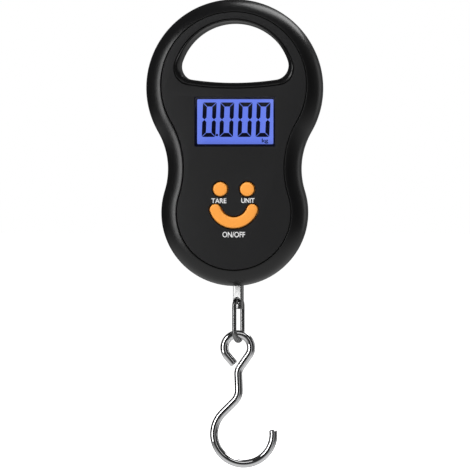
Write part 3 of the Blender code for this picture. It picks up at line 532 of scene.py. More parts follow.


# ==================================================================== display
# Reflective glass cell with a blue LED light guide behind it, under a clear acrylic window. Energised
# segments block the light, so they read dark on blue; a dark band round the lit area is painted shade, where
# the recessed window shades the cell's edges. A conductive strip joins the cell to the board.

SEGMENT_Y = (-11.19, -11.12)
DIGIT_HEIGHT = 14.3
DIGIT_WIDTH = 5.7
STROKE = 1.7
SEGMENT_GAP = 0.17
DIGIT_Z = -40.65
DIGIT_X = (-10.3, -3.0, 4.6, 12.1)
SLANT = 0.55 / DIGIT_HEIGHT
DECIMAL_POINT = (-7.05, -47.0)
LIT_X = (-15.3, 16.4)
LIT_Z = (-50.8, -32.15)
# Extent of the painted shade band round the lit area.
PAINTED_SHADE_X = (-17.9, 17.9)
PAINTED_SHADE_Z = (-52.6, -31.1)
PAINTED_SHADE_Y = (-11.2, -11.11)


def clear_material(name, tint, roughness):
    """Clear acrylic with a few fine wipe marks."""
    made = bpy.data.materials.new(name)
    made.use_nodes = True
    tree = made.node_tree
    shader = tree.nodes["Principled BSDF"]
    shader.inputs["Transmission Weight"].default_value = 1.0
    shader.inputs["IOR"].default_value = 1.49
    shader.inputs["Base Color"].default_value = (*tint, 1.0)
    marks = object_noise(tree, 900.0, 2.0, (1.0, 1.0, 0.06))
    tree.links.new(calculate(tree, "MULTIPLY", marks, roughness), shader.inputs["Roughness"])
    relief = add_node(tree, "ShaderNodeBump", Height=marks, Strength=0.02, Distance=0.00002)
    tree.links.new(relief.outputs[0], shader.inputs["Normal"])
    return made


def lit_material(name, colour, edge_colour, body_colour=(0.02, 0.03, 0.08), level=1.0):
    """Light that comes up through the cell: even in the middle, paler near the ends, duller at the bottom."""
    made = bpy.data.materials.new(name)
    made.use_nodes = True
    tree = made.node_tree
    shader = tree.nodes["Principled BSDF"]
    place = tree.nodes.new("ShaderNodeTexCoord").outputs["Object"]
    split = add_node(tree, "ShaderNodeSeparateXYZ", Vector=place).outputs
    across = calculate(tree, "ABSOLUTE", split["X"])
    side = add_node(tree, "ShaderNodeMapRange", Value=across, From_Min=0.011, From_Max=0.018).outputs[0]
    mix = add_node(tree, "ShaderNodeMix")
    mix.data_type = "RGBA"
    tree.links.new(side, mix.inputs["Factor"])
    mix.inputs[6].default_value = (*colour, 1.0)
    mix.inputs[7].default_value = (*edge_colour, 1.0)
    down = add_node(
        tree, "ShaderNodeMapRange", Value=split["Z"], From_Min=-0.0515, From_Max=-0.0485, To_Min=0.75,
        To_Max=1.0,
    ).outputs[0]
    cloud = calculate(tree, "MULTIPLY_ADD", object_noise(tree, 90.0), 0.12, 0.94)
    shade = add_node(tree, "ShaderNodeVectorMath", _0=mix.outputs[2])
    shade.operation = "SCALE"
    tree.links.new(calculate(tree, "MULTIPLY", down, cloud), shade.inputs["Scale"])
    tree.links.new(shade.outputs[0], shader.inputs["Emission Color"])
    shader.inputs["Emission Strength"].default_value = level
    shader.inputs["Base Color"].default_value = (*body_colour, 1.0)
    shader.inputs["Roughness"].default_value = 0.3
    return made


def block_for(node, name, material, edge):
    """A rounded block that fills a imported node's box."""
    low, high = box_mm(node)
    return block(name, (low.x, high.x), (low.y, high.y), (low.z, high.z), material, edge)


def digit_zero(centre_x):
    """Outlines of the six lit segments of one nought."""
    w, h, s, g = DIGIT_WIDTH / 2, DIGIT_HEIGHT / 2, STROKE, SEGMENT_GAP
    cap = [(g - w, h), (w - g, h), (w - s - g, h - s), (s + g - w, h - s)]
    leg = [(-w, h - g), (s - w, h - s - g), (s - w, g / 2 + s / 2), (s / 2 - w, g / 2), (-w, g / 2 + s / 2)]
    shapes = [cap, leg, [(-u, v) for u, v in leg]]
    shapes += [[(u, -v) for u, v in shape] for shape in shapes]
    return [[(centre_x + u + SLANT * v, DIGIT_Z + v) for u, v in shape] for shape in shapes]


def display_figures():
    """All dark segments and the decimal point, as thin closed prisms in one mesh."""
    outlines = [shape for x in DIGIT_X for shape in digit_zero(x)]
    outlines.append(arc(DECIMAL_POINT, 0.52, 0, math.tau, 24))
    bm = bmesh.new()
    for outline in outlines:
        front, back = ([bm.verts.new(point) for point in ring_at(outline, y)] for y in SEGMENT_Y)
        for i in range(len(outline)):
            j = (i + 1) % len(outline)
            bm.faces.new((front[i], front[j], back[j], back[i]))
        bm.faces.new(front)
        bm.faces.new(back)
    return bm


def lettering(name, words, centre, size, y_range, material):
    """Words in a plain typeface, fitted to a width and height and set upright on the face."""
    curve = bpy.data.curves.new(name, "FONT")
    curve.body = words
    curve.extrude = 0.5
    curve.offset = 0.018
    curve.resolution_u = 6
    text = bpy.data.objects.new(name, curve)
    bpy.context.scene.collection.objects.link(text)
    bpy.context.view_layer.update()
    bm = bmesh.new()
    bm.from_mesh(evaluated_mesh(text))
    bpy.data.objects.remove(text)
    bmesh.ops.remove_doubles(bm, verts=bm.verts, dist=1e-5)
    low = Vector([min(v.co[i] for v in bm.verts) for i in range(3)])
    high = Vector([max(v.co[i] for v in bm.verts) for i in range(3)])
    front, back = y_range
    for v in bm.verts:
        share = [(v.co[i] - low[i]) / (high[i] - low[i]) for i in range(3)]
        x = centre[0] + (share[0] - 0.5) * size[0]
        z = centre[1] + (share[1] - 0.5) * size[1]
        v.co = (x, back + (front - back) * share[2], z)
    return place_mesh(name, bm, material)


clear_acrylic = clear_material("clear acrylic", (0.97, 0.98, 1.0), 0.03)
lit_blue = lit_material("lit blue cell", (0.147, 0.223, 0.871), (0.19, 0.27, 0.9))
guide_blue = lit_material("blue light guide", (0.2, 0.3, 0.9), (0.3, 0.4, 1.0), level=0.6)
# Near black with a faint blue glow: the energised segments, and also the painted shade band round the lit
# area.
segment_and_shade_dark = lit_material("dark segment and painted shade", (0.0012, 0.0016, 0.012), (0.0012, 0.0016, 0.012), (0.0, 0.0, 0.0))
conductive_rubber = moulded("conductive rubber", (0.03, 0.03, 0.03), 0.7)

settle(smooth(block_for("display_window", "display_window_pane", clear_acrylic, 0.15)),
       "case", "clear_window", "display_window")
settle(smooth(block_for("display_cell", "display_cell_glass", lit_blue, 0.12)),
       "case", "display_glass", "display_cell")
settle(smooth(block_for("backlight_panel", "backlight_guide", guide_blue, 0.2)),
       "case", "backlight", "backlight_panel")
settle(smooth(block_for("display_connector", "display_strip", conductive_rubber, 0.2)),
       "case", "rubber_parts", "display_connector")
settle(place_mesh("display_segments", display_figures(), segment_and_shade_dark), "case", "display_glass")
# Painted shade: a dark band on the window's back that stands for the shadow the recessed window casts round
# the lit cell.
painted_shade_band = prism("display_border", rounded_rectangle(PAINTED_SHADE_X, PAINTED_SHADE_Z, 0.4), PAINTED_SHADE_Y, segment_and_shade_dark)
settle(cut(painted_shade_band, prism("border_opening", rounded_rectangle(LIT_X, LIT_Z, 0.5), (-11.5, -10.8))), "case",
       "display_glass")
settle(lettering("display_unit", "kg", (12.9, -49.5), (2.6, 2.1), SEGMENT_Y, segment_and_shade_dark), "case",
       "display_glass")


# ================================================================ face legends
# Pale pad-printed words beside the keys that say what each key does. The ink stands a few hundredths of a
# millimetre above the panel.

INK_Y = (panel_low.y - 0.03, panel_low.y + 0.02)
LEGENDS = {
    "legend_tare": ("TARE", (-6.2, -74.4), (6.3, 2.0)),
    "legend_unit": ("UNIT", (5.9, -74.3), (5.5, 2.0)),
    "legend_power": ("ON/OFF", (0.0, -88.5), (9.4, 2.3)),
}
pale_ink = moulded("pale ink", (0.8, 0.8, 0.8), 0.6, bump=0.3)
for legend, (words, centre, size) in LEGENDS.items():
    settle(lettering(legend, words, centre, size, INK_Y, pale_ink), "case", "face_panel")


# ======================================================================= keys
# Orange ABS caps, moulded in colour: a low crown with rounded edges, and a flange behind the
# floor that stops the key from coming out. The tact switch behind it pushes it back.

FLANGE_Y = (-10.2, -9.3)
FLANGE_EXTRA = 1.0
KEY_BODIES = {"tare": "tare_key", "unit": "unit_key", "power": "power_key"}
KEY_PROFILE = ((0.0, 0.75), (0.03, 0.5), (0.12, 0.3), (0.27, 0.16), (0.5, 0.08), (0.9, 0.04), (1.5, 0.01),
               (2.05, 0.0))
orange_plastic = moulded("orange plastic", (1.0, 0.385, 0.062), 0.42, grain=3000.0, mottle=0.03, bump=0.12)


def key_cap(name):
    """Flange, straight side and crown; the profile gives the inset and the drop behind the key's front."""
    front = box_mm(f"{name}_button")[0].y
    wide = key_outline(name, FLANGE_EXTRA)
    rings = [ring_at(key_outline(name, FLANGE_EXTRA - 0.15), FLANGE_Y[1]), ring_at(wide, FLANGE_Y[1] - 0.15)]
    rings += [ring_at(wide, FLANGE_Y[0] + 0.1), ring_at(key_outline(name, FLANGE_EXTRA - 0.1), FLANGE_Y[0])]
    rings.append(ring_at(key_outline(name), FLANGE_Y[0]))
    rings += [ring_at(key_outline(name, -inset), front + drop) for inset, drop in KEY_PROFILE]
    return loft(f"{name}_key_cap", rings, orange_plastic)


for name, body in KEY_BODIES.items():
    settle(smooth(key_cap(name), 40), body, "orange_key", f"{name}_button")


# =============================================================== key switches
# Low tact switches soldered to the board: a black housing with a well, and a pale plunger that the key
# presses and that clicks back.

def paint_nodes(material, *names):
    """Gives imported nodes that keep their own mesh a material."""
    for name in names:
        nodes[name].data.materials.clear()
        nodes[name].data.materials.append(material)


switch_black = moulded("switch housing", (0.03, 0.03, 0.035), 0.45, grain=1800.0)
paint_nodes(switch_black, *[f"{name}_switch" for name in KEY_BODIES])
plunger_ivory = moulded("switch plunger", (0.62, 0.58, 0.48), 0.4, grain=1800.0)


def lathe(name, profile, centre, axis, material, sides=64):
    """A turned solid: profile is (radius, distance along axis) pairs that start and end on the axis."""
    turn = Vector(axis).to_track_quat("Z", "Y").to_matrix()
    bm = bmesh.new()
    loops = []
    for radius, along in profile:
        turns = [math.tau * i / sides for i in range(sides if radius else 1)]
        points = [(radius * math.cos(a), radius * math.sin(a), along) for a in turns]
        loops.append([bm.verts.new(turn @ Vector(point) + Vector(centre)) for point in points])
    for near, far in zip(loops, loops[1:]):
        for i in range(sides):
            j = (i + 1) % sides
            corners = [near[i % len(near)], near[j % len(near)], far[j % len(far)], far[i % len(far)]]
            bm.faces.new(list(dict.fromkeys(corners)))
    return smooth(place_mesh(name, bm, material))


for name, body in KEY_BODIES.items():
    place = key_places[name]
    front, back = (corner.y for corner in box_mm(f"{name}_plunger"))
    profile = [(0, front), (0.6, front), (0.8, front + 0.04), (0.95, front + 0.15), (1.05, front + 0.35)]
    plunger = lathe(f"{name}_plunger_pin", profile + [(1.05, back), (0, back)], (place.x, 0, place.z),
                    (0, 1, 0),
                    plunger_ivory)
    settle(plunger, body, "switch_plunger", f"{name}_plunger")


# ============================================================== circuit board
# Green fibreglass board on four screws. Its back holds the controller under a dome of black epoxy, the
# crystal in its can and a small electrolytic capacitor, and a row of solder joints.

def worn_metal_group():
    """Metal with fine directional marks, patchy polish and a little tone."""
    tree, given, out = new_group(
        "worked metal", ["Colour"], ["Mark Size", "Roughness", "Spread", "Tone"],
        ["Colour", "Roughness", "Height"],
    )
    marks = object_noise(tree, given["Mark Size"], 3.0, (1.0, 1.0, 0.08))
    patches = object_noise(tree, 160.0, 3.0)
    swing = calculate(tree, "SUBTRACT", calculate(tree, "ADD", marks, patches), 1.0)
    rough = calculate(tree, "MULTIPLY_ADD", swing, given["Spread"], given["Roughness"])
    tree.links.new(varied(tree, given["Colour"], patches, given["Tone"]), out.inputs["Colour"])
    tree.links.new(rough, out.inputs["Roughness"])
    tree.links.new(marks, out.inputs["Height"])
    return tree


WORN_METAL = worn_metal_group()


def metal(name, colour, roughness, marks=900.0, spread=0.08, tone=0.04, bump=0.05):
    made = skinned(
        name, WORN_METAL, colour, bump, Roughness=roughness, Mark_Size=marks, Spread=spread, Tone=tone,
    )
    made.node_tree.nodes["Principled BSDF"].inputs["Metallic"].default_value = 1.0
    return made


def board_material():
    """Solder mask over copper: the tracks show as slightly paler, raised lines."""
    made = moulded("green solder mask", (0.012, 0.11, 0.035), 0.35)
    tree = made.node_tree
    shader = tree.nodes["Principled BSDF"]
    place = tree.nodes.new("ShaderNodeTexCoord").outputs["Object"]
    tracks = add_node(tree, "ShaderNodeTexBrick", Vector=place, Scale=260.0, Mortar_Size=0.08)
    turned = add_node(tree, "ShaderNodeMapping", Vector=place, Rotation=(math.pi / 2, 0, 0))
    tree.links.new(turned.outputs[0], tracks.inputs["Vector"])
    tracks.inputs["Color1"].default_value = (0.012, 0.1, 0.03, 1.0)
    tracks.inputs["Color2"].default_value = (0.014, 0.12, 0.036, 1.0)
    tracks.inputs["Mortar"].default_value = (0.05, 0.26, 0.1, 1.0)
    tree.links.new(tracks.outputs["Color"], shader.inputs["Base Color"])
    return made


def growth_tree(name, numbers, counts=(), vectors=()):
    """An empty Geometry Nodes tree with a seed mesh, named inputs and a material."""
    tree = bpy.data.node_groups.new(name, "GeometryNodeTree")
    tree.interface.new_socket("Seed", in_out="INPUT", socket_type="NodeSocketGeometry")
    for names, socket_type in ((numbers, "Float"), (counts, "Int"), (vectors, "Vector"),
                               (["Material"], "Material")):
        for socket_name in names:
            tree.interface.new_socket(socket_name, in_out="INPUT", socket_type=f"NodeSocket{socket_type}")
    tree.interface.new_socket("Piece", in_out="OUTPUT", socket_type="NodeSocketGeometry")
    return tree, tree.nodes.new("NodeGroupInput").outputs


def finish_growth(tree, geometry, given, turn=None):
    """Puts a copy of the shape on each seed point where turn is given, joins it all and sets its material."""
    if turn is not None:
        copies = add_node(
            tree, "GeometryNodeInstanceOnPoints", Points=given["Seed"], Instance=geometry, Rotation=turn,
        )
        geometry = copies.outputs[0]
    whole = add_node(tree, "GeometryNodeRealizeInstances", Geometry=geometry).outputs[0]
    painted = add_node(tree, "GeometryNodeSetMaterial", Geometry=whole, Material=given["Material"])
    tree.links.new(painted.outputs[0], tree.nodes.new("NodeGroupOutput").inputs[0])
    return tree


def grow(name, tree, points, material, edges=(), widths=None, **sizes):
    """Runs a tree on seed points in millimetres, and keeps the mesh that it makes as a new piece."""
    seed = bpy.data.meshes.new(f"{name}_seed")
    seed.from_pydata([Vector(point) * MM for point in points], edges, [])
    if widths:
        seed.attributes.new("width", "FLOAT", "POINT").data.foreach_set("value", widths)
    piece = bpy.data.objects.new(name, seed)
    bpy.context.scene.collection.objects.link(piece)
    modifier = piece.modifiers.new("growth", "NODES")
    modifier.node_group = tree
    sizes["Material"] = material
    for socket in tree.interface.items_tree:
        key = socket.name.replace(" ", "_")
        if socket.in_out == "INPUT" and key in sizes:
            value = sizes[key]
            modifier[socket.identifier] = value * MM if isinstance(value, float) else value
    mesh = evaluated_mesh(piece)
    piece.modifiers.clear()
    piece.data = mesh
    mesh.name = name
    return smooth(piece)


def bead_tree():
    """Low round beads, one on each seed point, flattened against the board."""
    tree, given = growth_tree("solder beads", ["Radius"])
    ball = add_node(tree, "GeometryNodeMeshUVSphere", Segments=12, Rings=6, Radius=given["Radius"])
    flat = add_node(tree, "GeometryNodeTransform", Geometry=ball.outputs[0], Scale=(1.0, 0.45, 1.0))
    return finish_growth(tree, flat.outputs[0], given, turn=(0, 0, 0))


board_high = box_mm("circuit_board")[1]
tinned = metal("bright solder", (0.62, 0.63, 0.65), 0.25)
paint_nodes(board_material(), "circuit_board")
joint_places = [(-16.5 + 1.5 * i, board_high.y + 0.02, -31.4) for i in range(8)]
joint_places += [(x, board_high.y + 0.02, place.z + dz) for place in key_places.values()
                 for x in (place.x - 3.2, place.x + 3.2) for dz in (-1.6, 1.6)]
joint_places += [(x, board_high.y + 0.02, -40.0) for x in (8.2, 11.8)]
settle(grow("solder_joints", bead_tree(), joint_places, tinned, Radius=0.55), "case", "component_can")

black_epoxy = moulded("black epoxy", (0.008, 0.008, 0.009), 0.2, grain=500.0, bump=0.25)
chip = centre_of("controller_chip")
dome_y = box_mm("controller_chip")[0].y
dome_profile = [(0, dome_y), (4.95, dome_y), (5.0, dome_y + 0.1), (4.85, dome_y + 0.3), (4.4, dome_y + 0.56)]
dome_profile += [(3.6, dome_y + 0.83), (2.4, dome_y + 1.02), (1.2, dome_y + 1.09), (0, dome_y + 1.1)]
settle(lathe("controller_dome", dome_profile, (chip.x, 0, chip.z), (0, 1, 0), black_epoxy),
       "case", "black_epoxy", "controller_chip")
settle(smooth(block_for("crystal_can", "crystal_case", tinned, 0.8)), "case", "component_can", "crystal_can")

capacitor_blue = moulded("capacitor sleeve", (0.012, 0.014, 0.07), 0.3, grain=900.0)
low, high = box_mm("filter_capacitor")
length, radius = high.x - low.x, (high.z - low.z) / 2
groove = [(radius, length - 1.5), (radius - 0.25, length - 1.2), (radius - 0.25, length - 1.0),
          (radius, length - 0.7)]
sleeve = [(0, 0), (radius - 0.35, 0), (radius, 0.3), *groove, (radius, length - 0.3), (radius - 0.35, length)]
middle = (low + high) / 2
settle(lathe("capacitor_body", sleeve + [(0, length)], (low.x, middle.y, middle.z), (1, 0, 0),
             capacitor_blue),
       "case", "capacitor_sleeve", "filter_capacitor")


# ====================================================================== leads
# Soft PVC leads: red and black from the battery contacts to the board, and a grey one from the strain gauges.
# Each is soldered at its board end.

def swept_tree():
    """A round section swept along the seed's edges; the width attribute thins it, as at a chamfered end."""
    tree, given = growth_tree("swept wire", ["Radius"], ["Sides"])
    path = add_node(tree, "GeometryNodeMeshToCurve", Mesh=given["Seed"])
    width = add_node(tree, "GeometryNodeInputNamedAttribute", Name="width")
    section = add_node(tree, "GeometryNodeCurvePrimitiveCircle", Resolution=given["Sides"],
                       Radius=given["Radius"])
    solid = add_node(
        tree, "GeometryNodeCurveToMesh", Curve=path.outputs[0], Profile_Curve=section.outputs[0],
        Scale=width.outputs[0], Fill_Caps=True,
    )
    return finish_growth(tree, solid.outputs[0], given)


SWEPT_WIRE = swept_tree()


def wire(name, points, radius, material, closed=False, tip=1.0, sides=28):
    """A round wire along points, closed on itself or with its two ends narrowed."""
    count = len(points)
    edges = [(i, i + 1) for i in range(count - 1)] + ([(count - 1, 0)] if closed else [])
    widths = [1.0] * count
    if not closed:
        widths[0] = widths[-1] = tip
    return grow(name, SWEPT_WIRE, points, material, edges, widths, Radius=radius, Sides=sides)


def smooth_route(knots, steps=8):
    """Catmull-Rom points through the knots of a lead."""
    pts = [Vector(k) for k in knots]
    pts = [2 * pts[0] - pts[1], *pts, 2 * pts[-1] - pts[-2]]
    route = []
    for a, b, c, d in zip(pts, pts[1:], pts[2:], pts[3:]):
        for t in (i / steps for i in range(steps)):
            bend = (2 * a - 5 * b + 4 * c - d) * t**2 + (3 * b - a - 3 * c + d) * t**3
            route.append(0.5 * (2 * b + (c - a) * t + bend))
    return route + [pts[-2]]


BAY_SIDE = 14.2
for side, name, colour in ((-1, "positive", (0.5, 0.012, 0.012)), (1, "negative", (0.012, 0.012, 0.013))):
    x = side * (BAY_SIDE + 1.2)
    knots = [
        (x, 8.0, -60.0), (x + side * 0.5, 4.0, -59.2), (x + side * 0.7, 0.0, -57.6),
        (x + side * 0.2, -3.0, -55.6), (x - side * 0.6, -5.0, -54.2),
    ]
    insulation = moulded(f"{name} lead insulation", colour, 0.4, grain=1500.0)
    lead = wire(f"{name}_lead_wire", smooth_route(knots), 0.6, insulation, sides=16)
    settle(lead, "case", "red_lead" if side < 0 else "black_lead", f"{name}_lead")
cell_left = box_mm("load_cell")[0].x
gauge_knots = [
    (cell_left - 1.3, -2.2, -66.5), (cell_left - 2.0, -2.5, -64.0), (cell_left - 2.6, -3.4, -61.6),
    (cell_left - 3.4, -4.9, -60.0),
]
grey_insulation = moulded("grey lead insulation", (0.18, 0.18, 0.19), 0.4, grain=1500.0)
settle(wire("gauge_lead_wire", smooth_route(gauge_knots), 0.7, grey_insulation, sides=16),
       "case", "grey_lead", "gauge_lead")


# ================================================= anchor plate and load cell
# A steel plate screwed to bosses in the rear shell holds the top of an aluminium S-beam. The hanger pulls on
# the beam's lower end; foil gauges on its sides read how much it bends.

anchor_steel = metal("plated anchor steel", (0.6, 0.6, 0.61), 0.3, marks=700.0)
cell_alloy = metal("milled aluminium", (0.66, 0.67, 0.68), 0.34, marks=1500.0, bump=0.2)
gauge_foil = metal("gauge foil", (0.6, 0.36, 0.12), 0.45)
paint_nodes(anchor_steel, "anchor_plate")
paint_nodes(cell_alloy, "load_cell")
paint_nodes(gauge_foil, "strain_gauge_left", "strain_gauge_right")

def screw_tree():
    """A pan-head screw with a cross recess and a thread, one on each seed point, its head along local Z."""
    tree, given = growth_tree(
        "pan head screw", ["Head Radius", "Head Height", "Shank Radius", "Length", "Thread Pitch", "Recess"],
        vectors=["Turn"],
    )

    def share(name, factor):
        return calculate(tree, "MULTIPLY", given[name], factor)

    def raised(shape, z, turn=0.0):
        where = add_node(tree, "ShaderNodeCombineXYZ", Z=z).outputs[0]
        moved = add_node(tree, "GeometryNodeTransform", Geometry=shape.outputs[0], Translation=where)
        moved.inputs["Rotation"].default_value = (0, 0, turn)
        return moved.outputs[0]

    half_head, thread_length = share("Head Height", 0.5), share("Length", 0.8)
    drum = add_node(
        tree, "GeometryNodeMeshCylinder", Vertices=40, Radius=given["Head Radius"], Depth=half_head,
    )
    dome = add_node(
        tree, "GeometryNodeMeshCone", Vertices=40, Radius_Bottom=share("Head Radius", 0.98),
        Radius_Top=share("Head Radius", 0.62), Depth=share("Head Height", 0.6),
    )
    shank = add_node(
        tree, "GeometryNodeMeshCylinder", Vertices=24, Radius=given["Shank Radius"], Depth=given["Length"],
    )
    point = add_node(
        tree, "GeometryNodeMeshCone", Vertices=24, Radius_Bottom=share("Shank Radius", 0.98),
        Radius_Top=share("Shank Radius", 0.3), Depth=share("Shank Radius", -1.0),
    )
    helix = add_node(
        tree, "GeometryNodeCurveSpiral", Resolution=18, Start_Radius=given["Shank Radius"],
        Rotations=calculate(tree, "DIVIDE", thread_length, given["Thread Pitch"]),
        End_Radius=given["Shank Radius"], Height=thread_length,
    )
    crest = add_node(tree, "GeometryNodeCurvePrimitiveCircle", Resolution=4,
                     Radius=share("Shank Radius", 0.15))
    thread = add_node(
        tree, "GeometryNodeCurveToMesh", Curve=helix.outputs[0], Profile_Curve=crest.outputs[0],
        Fill_Caps=True,
    )
    slot_size = add_node(
        tree, "ShaderNodeCombineXYZ", X=given["Recess"], Y=share("Recess", 0.22), Z=given["Head Height"],
    )
    bar = add_node(tree, "GeometryNodeMeshCube", Size=slot_size.outputs[0])
    neck = share("Head Height", 0.2)
    shank_middle = calculate(tree, "MULTIPLY_ADD", given["Length"], -0.5, neck)
    shank_end = calculate(tree, "MULTIPLY_ADD", given["Length"], -0.99, neck)
    solid = add_node(tree, "GeometryNodeMeshBoolean")
    solid.operation, solid.solver = "UNION", "EXACT"
    for shape in (
        raised(drum, share("Head Height", 0.25)), raised(dome, share("Head Height", 0.4)),
        raised(shank, shank_middle), raised(point, shank_end), raised(thread, share("Length", -0.92)),
    ):
        tree.links.new(shape, solid.inputs["Mesh 2"])
    recessed = add_node(tree, "GeometryNodeMeshBoolean")
    recessed.operation, recessed.solver = "DIFFERENCE", "EXACT"
    tree.links.new(solid.outputs[0], recessed.inputs["Mesh 1"])
    for turn in (0.0, math.pi / 2):
        tree.links.new(raised(bar, given["Head Height"], turn), recessed.inputs["Mesh 2"])
    return finish_growth(tree, recessed.outputs[0], given, turn=given["Turn"])


PAN_HEAD_SCREW = screw_tree()
HEAD_BACK = (-math.pi / 2, 0.0, 0.0)
HEAD_FRONT = (math.pi / 2, 0.0, 0.0)
zinc_plate = metal("zinc plate", (0.55, 0.56, 0.58), 0.3, marks=600.0, tone=0.08)


def screws(name, screw_places, seat_y, turn, stands_for, **sizes):
    """One mesh that holds a set of like screws, seated at the same depth."""
    seats = [(x, seat_y, z) for x, z in screw_places]
    piece = grow(name, PAN_HEAD_SCREW, seats, zinc_plate, Turn=turn, **sizes)
    return settle(piece, "case", "zinc_screw", *stands_for)


screws("board_screws", board_screw_places, -5.4, HEAD_BACK, [f"board_screw_{i}" for i in range(1, 5)],
       Head_Radius=1.9, Head_Height=1.2, Shank_Radius=0.8, Length=4.0, Thread_Pitch=0.7, Recess=2.2)
screws("anchor_screws", anchor_screw_places, 0.2, HEAD_FRONT, [f"anchor_screw_{i}" for i in range(1, 5)],
       Head_Radius=2.3, Head_Height=1.6, Shank_Radius=1.1, Length=7.0, Thread_Pitch=0.9, Recess=2.8)
screws("cell_screws", places("cell_screw", (1, 2)), 2.3, HEAD_BACK, ["cell_screw_1", "cell_screw_2"],
       Head_Radius=2.5, Head_Height=2.0, Shank_Radius=1.3, Length=5.6, Thread_Pitch=0.6, Recess=3.0)


# ================================================================= rear shell
# Glossy black ABS moulding that closes the case: straight sides that round over to a flat back, the battery
# bay with its slot for the sliding door, and deep counterbores for the four case screws.

BACK_ROUND = 7.0
BAY_HALF = 11.0
BAY_Z = (-102.6, -52.4)
BAY_TOP_Z = -49.0
BAY_FLOOR_Y = (0.5, 1.5)
DOOR_TONGUE_Y = 13.1
door_low, door_high = box_mm("battery_door")
DOOR_TONGUE_HALF = door_high.x
DOOR_HALF = DOOR_TONGUE_HALF - 1.0


def back_rings(extra=0.0, steps=18):
    """Rings of the rounded back, from the straight side to the flat, inset by extra."""
    rings = []
    for i in range(steps + 1):
        angle = math.pi / 2 * i / steps
        outline = case_outline(BACK_ROUND * (1 - math.cos(angle)) + extra)
        rings.append(ring_at(outline, SIDE_Y + (BACK_Y - SIDE_Y) * math.sin(angle)))
    return rings


def rear_grip_cutter():
    """The handle opening with its rounded lip, from inside the parting line out through the back."""
    rings = [ring_at(grip_outline(0.2), -1.0), ring_at(grip_outline(0.2), PARTING),
             ring_at(grip_outline(), PARTING + 0.2)]
    for i in range(17):
        angle = math.radians(78) * i / 16
        y = LIP_FACE - LIP_DEPTH + LIP_DEPTH * math.sin(angle)
        rings.append(ring_at(grip_outline(0.0, 1 - math.cos(angle)), y))
    rings += [ring_at(grip_outline(0.0, 0.93), LIP_FACE + 0.12),
              ring_at(grip_outline(0.25, 1.0), BACK_Y + 0.1)]
    return loft("rear_grip_cutter", rings + [ring_at(grip_outline(0.6, 1.0), BACK_Y + 0.4)])


def door_slot():
    """Stepped slot for the sliding door, open at the case's lower end."""
    top, low = door_high.z + GAP, case_low.z - 8
    wide, narrow = DOOR_TONGUE_HALF + GAP, DOOR_HALF + GAP
    slot = block("door_slot", (-wide, wide), (door_low.y - GAP, DOOR_TONGUE_Y + GAP), (low, top))
    mouth = block("slot_mouth", (-narrow, narrow), (DOOR_TONGUE_Y - 0.2, BACK_Y + 2), (low - 1, top))
    return join(slot, mouth)


def rear_shell():
    skin = [ring_at(case_outline(0.18), PARTING), ring_at(case_outline(0.05), PARTING + 0.06)]
    skin += [ring_at(case_outline(), PARTING + 0.2), ring_at(case_outline(), 2.5), *back_rings()]
    shell = loft("rear_shell_moulding", skin, gloss_black)
    inner_back = BACK_Y - WALL
    inside = [ring for ring in back_rings(WALL, 12) if ring[0][1] < inner_back - 0.2]
    turn = math.asin((inner_back - SIDE_Y) / (BACK_Y - SIDE_Y))
    lid = ring_at(case_outline(BACK_ROUND * (1 - math.cos(turn)) + WALL), inner_back)
    hollow = loft("rear_cavity", [ring_at(case_outline(WALL), -1.0), *inside, lid])
    cut(shell, cut(hollow, prism("rear_grip_wall", grip_outline(WALL, 0.5), (-20.0, 20.0))))
    features = block("bay_block", (-BAY_SIDE, BAY_SIDE), (BAY_FLOOR_Y[0], BACK_Y), (case_low.z, BAY_TOP_Z))
    bosses = [rod("rear_boss", (x, PARTING, z), (x, BACK_Y - 0.5, z), 4.0) for x, z in case_screw_places]
    behind_plate = box_mm("anchor_plate")[1].y + GAP
    bosses += [rod("anchor_boss", (x, behind_plate, z), (x, BACK_Y - 0.5, z), 3.0)
               for x, z in anchor_screw_places]
    join(features, *bosses)
    core = [ring_at(case_outline(WALL / 2), PARTING), *back_rings(WALL / 2, 12)]
    core[-1] = ring_at(case_outline(BACK_ROUND + WALL / 2), BACK_Y - WALL / 2)
    join(shell, keep_inside(features, loft("feature_limit", core)))
    cut(shell, rear_grip_cutter(), block("bay", (-BAY_HALF, BAY_HALF), (BAY_FLOOR_Y[1], BACK_Y + 2), BAY_Z))
    cut(shell, door_slot())
    cut(shell, *[rod("counterbore", (x, 4.0, z), (x, BACK_Y + 2, z), 3.0) for x, z in case_screw_places])
    cut(shell, *[rod("clearance", (x, -1.0, z), (x, 5.0, z), 1.5) for x, z in case_screw_places])
    cut(shell, *[rod("anchor_pilot", (x, 0.0, z), (x, 9.0, z), 1.2) for x, z in anchor_screw_places])
    return cut(shell, exit_hole())


settle(smooth(rear_shell()), "case", "gloss_case", "rear_shell")


# =================================================== batteries and their contacts
# Two size AAA cells: a steel can in a plastic sleeve with plain bands, crimped at the button end. Strips of
# nickel-plated steel and two conical springs join them in series.

BATTERY_R = 5.25
BATTERY_X = 5.4
BATTERY_Y = 6.95
nickel = metal("nickel plate", (0.66, 0.62, 0.54), 0.24, marks=800.0)
paint_nodes(nickel, "contact_bridge", "positive_contact", "negative_contact")


def sleeve_material(upward, base_z):
    """A battery's printed sleeve: dark green with a gold band near the button end."""
    made = moulded("battery sleeve", (0.01, 0.06, 0.03), 0.3, grain=1200.0)
    tree = made.node_tree
    shader = tree.nodes["Principled BSDF"]
    skin = shader.inputs["Base Color"].links[0].from_socket
    place = tree.nodes.new("ShaderNodeTexCoord").outputs["Object"]
    height = add_node(tree, "ShaderNodeSeparateXYZ", Vector=place).outputs["Z"]
    along = calculate(tree, "MULTIPLY_ADD", height, upward / MM, -upward * base_z)
    band = calculate(tree, "GREATER_THAN", along, 31.5)
    mix = add_node(tree, "ShaderNodeMix")
    mix.data_type = "RGBA"
    tree.links.new(band, mix.inputs[0])
    tree.links.new(skin, mix.inputs[6])
    mix.inputs[7].default_value = (0.45, 0.27, 0.06, 1.0)
    tree.links.new(mix.outputs[2], shader.inputs["Base Color"])
    return made


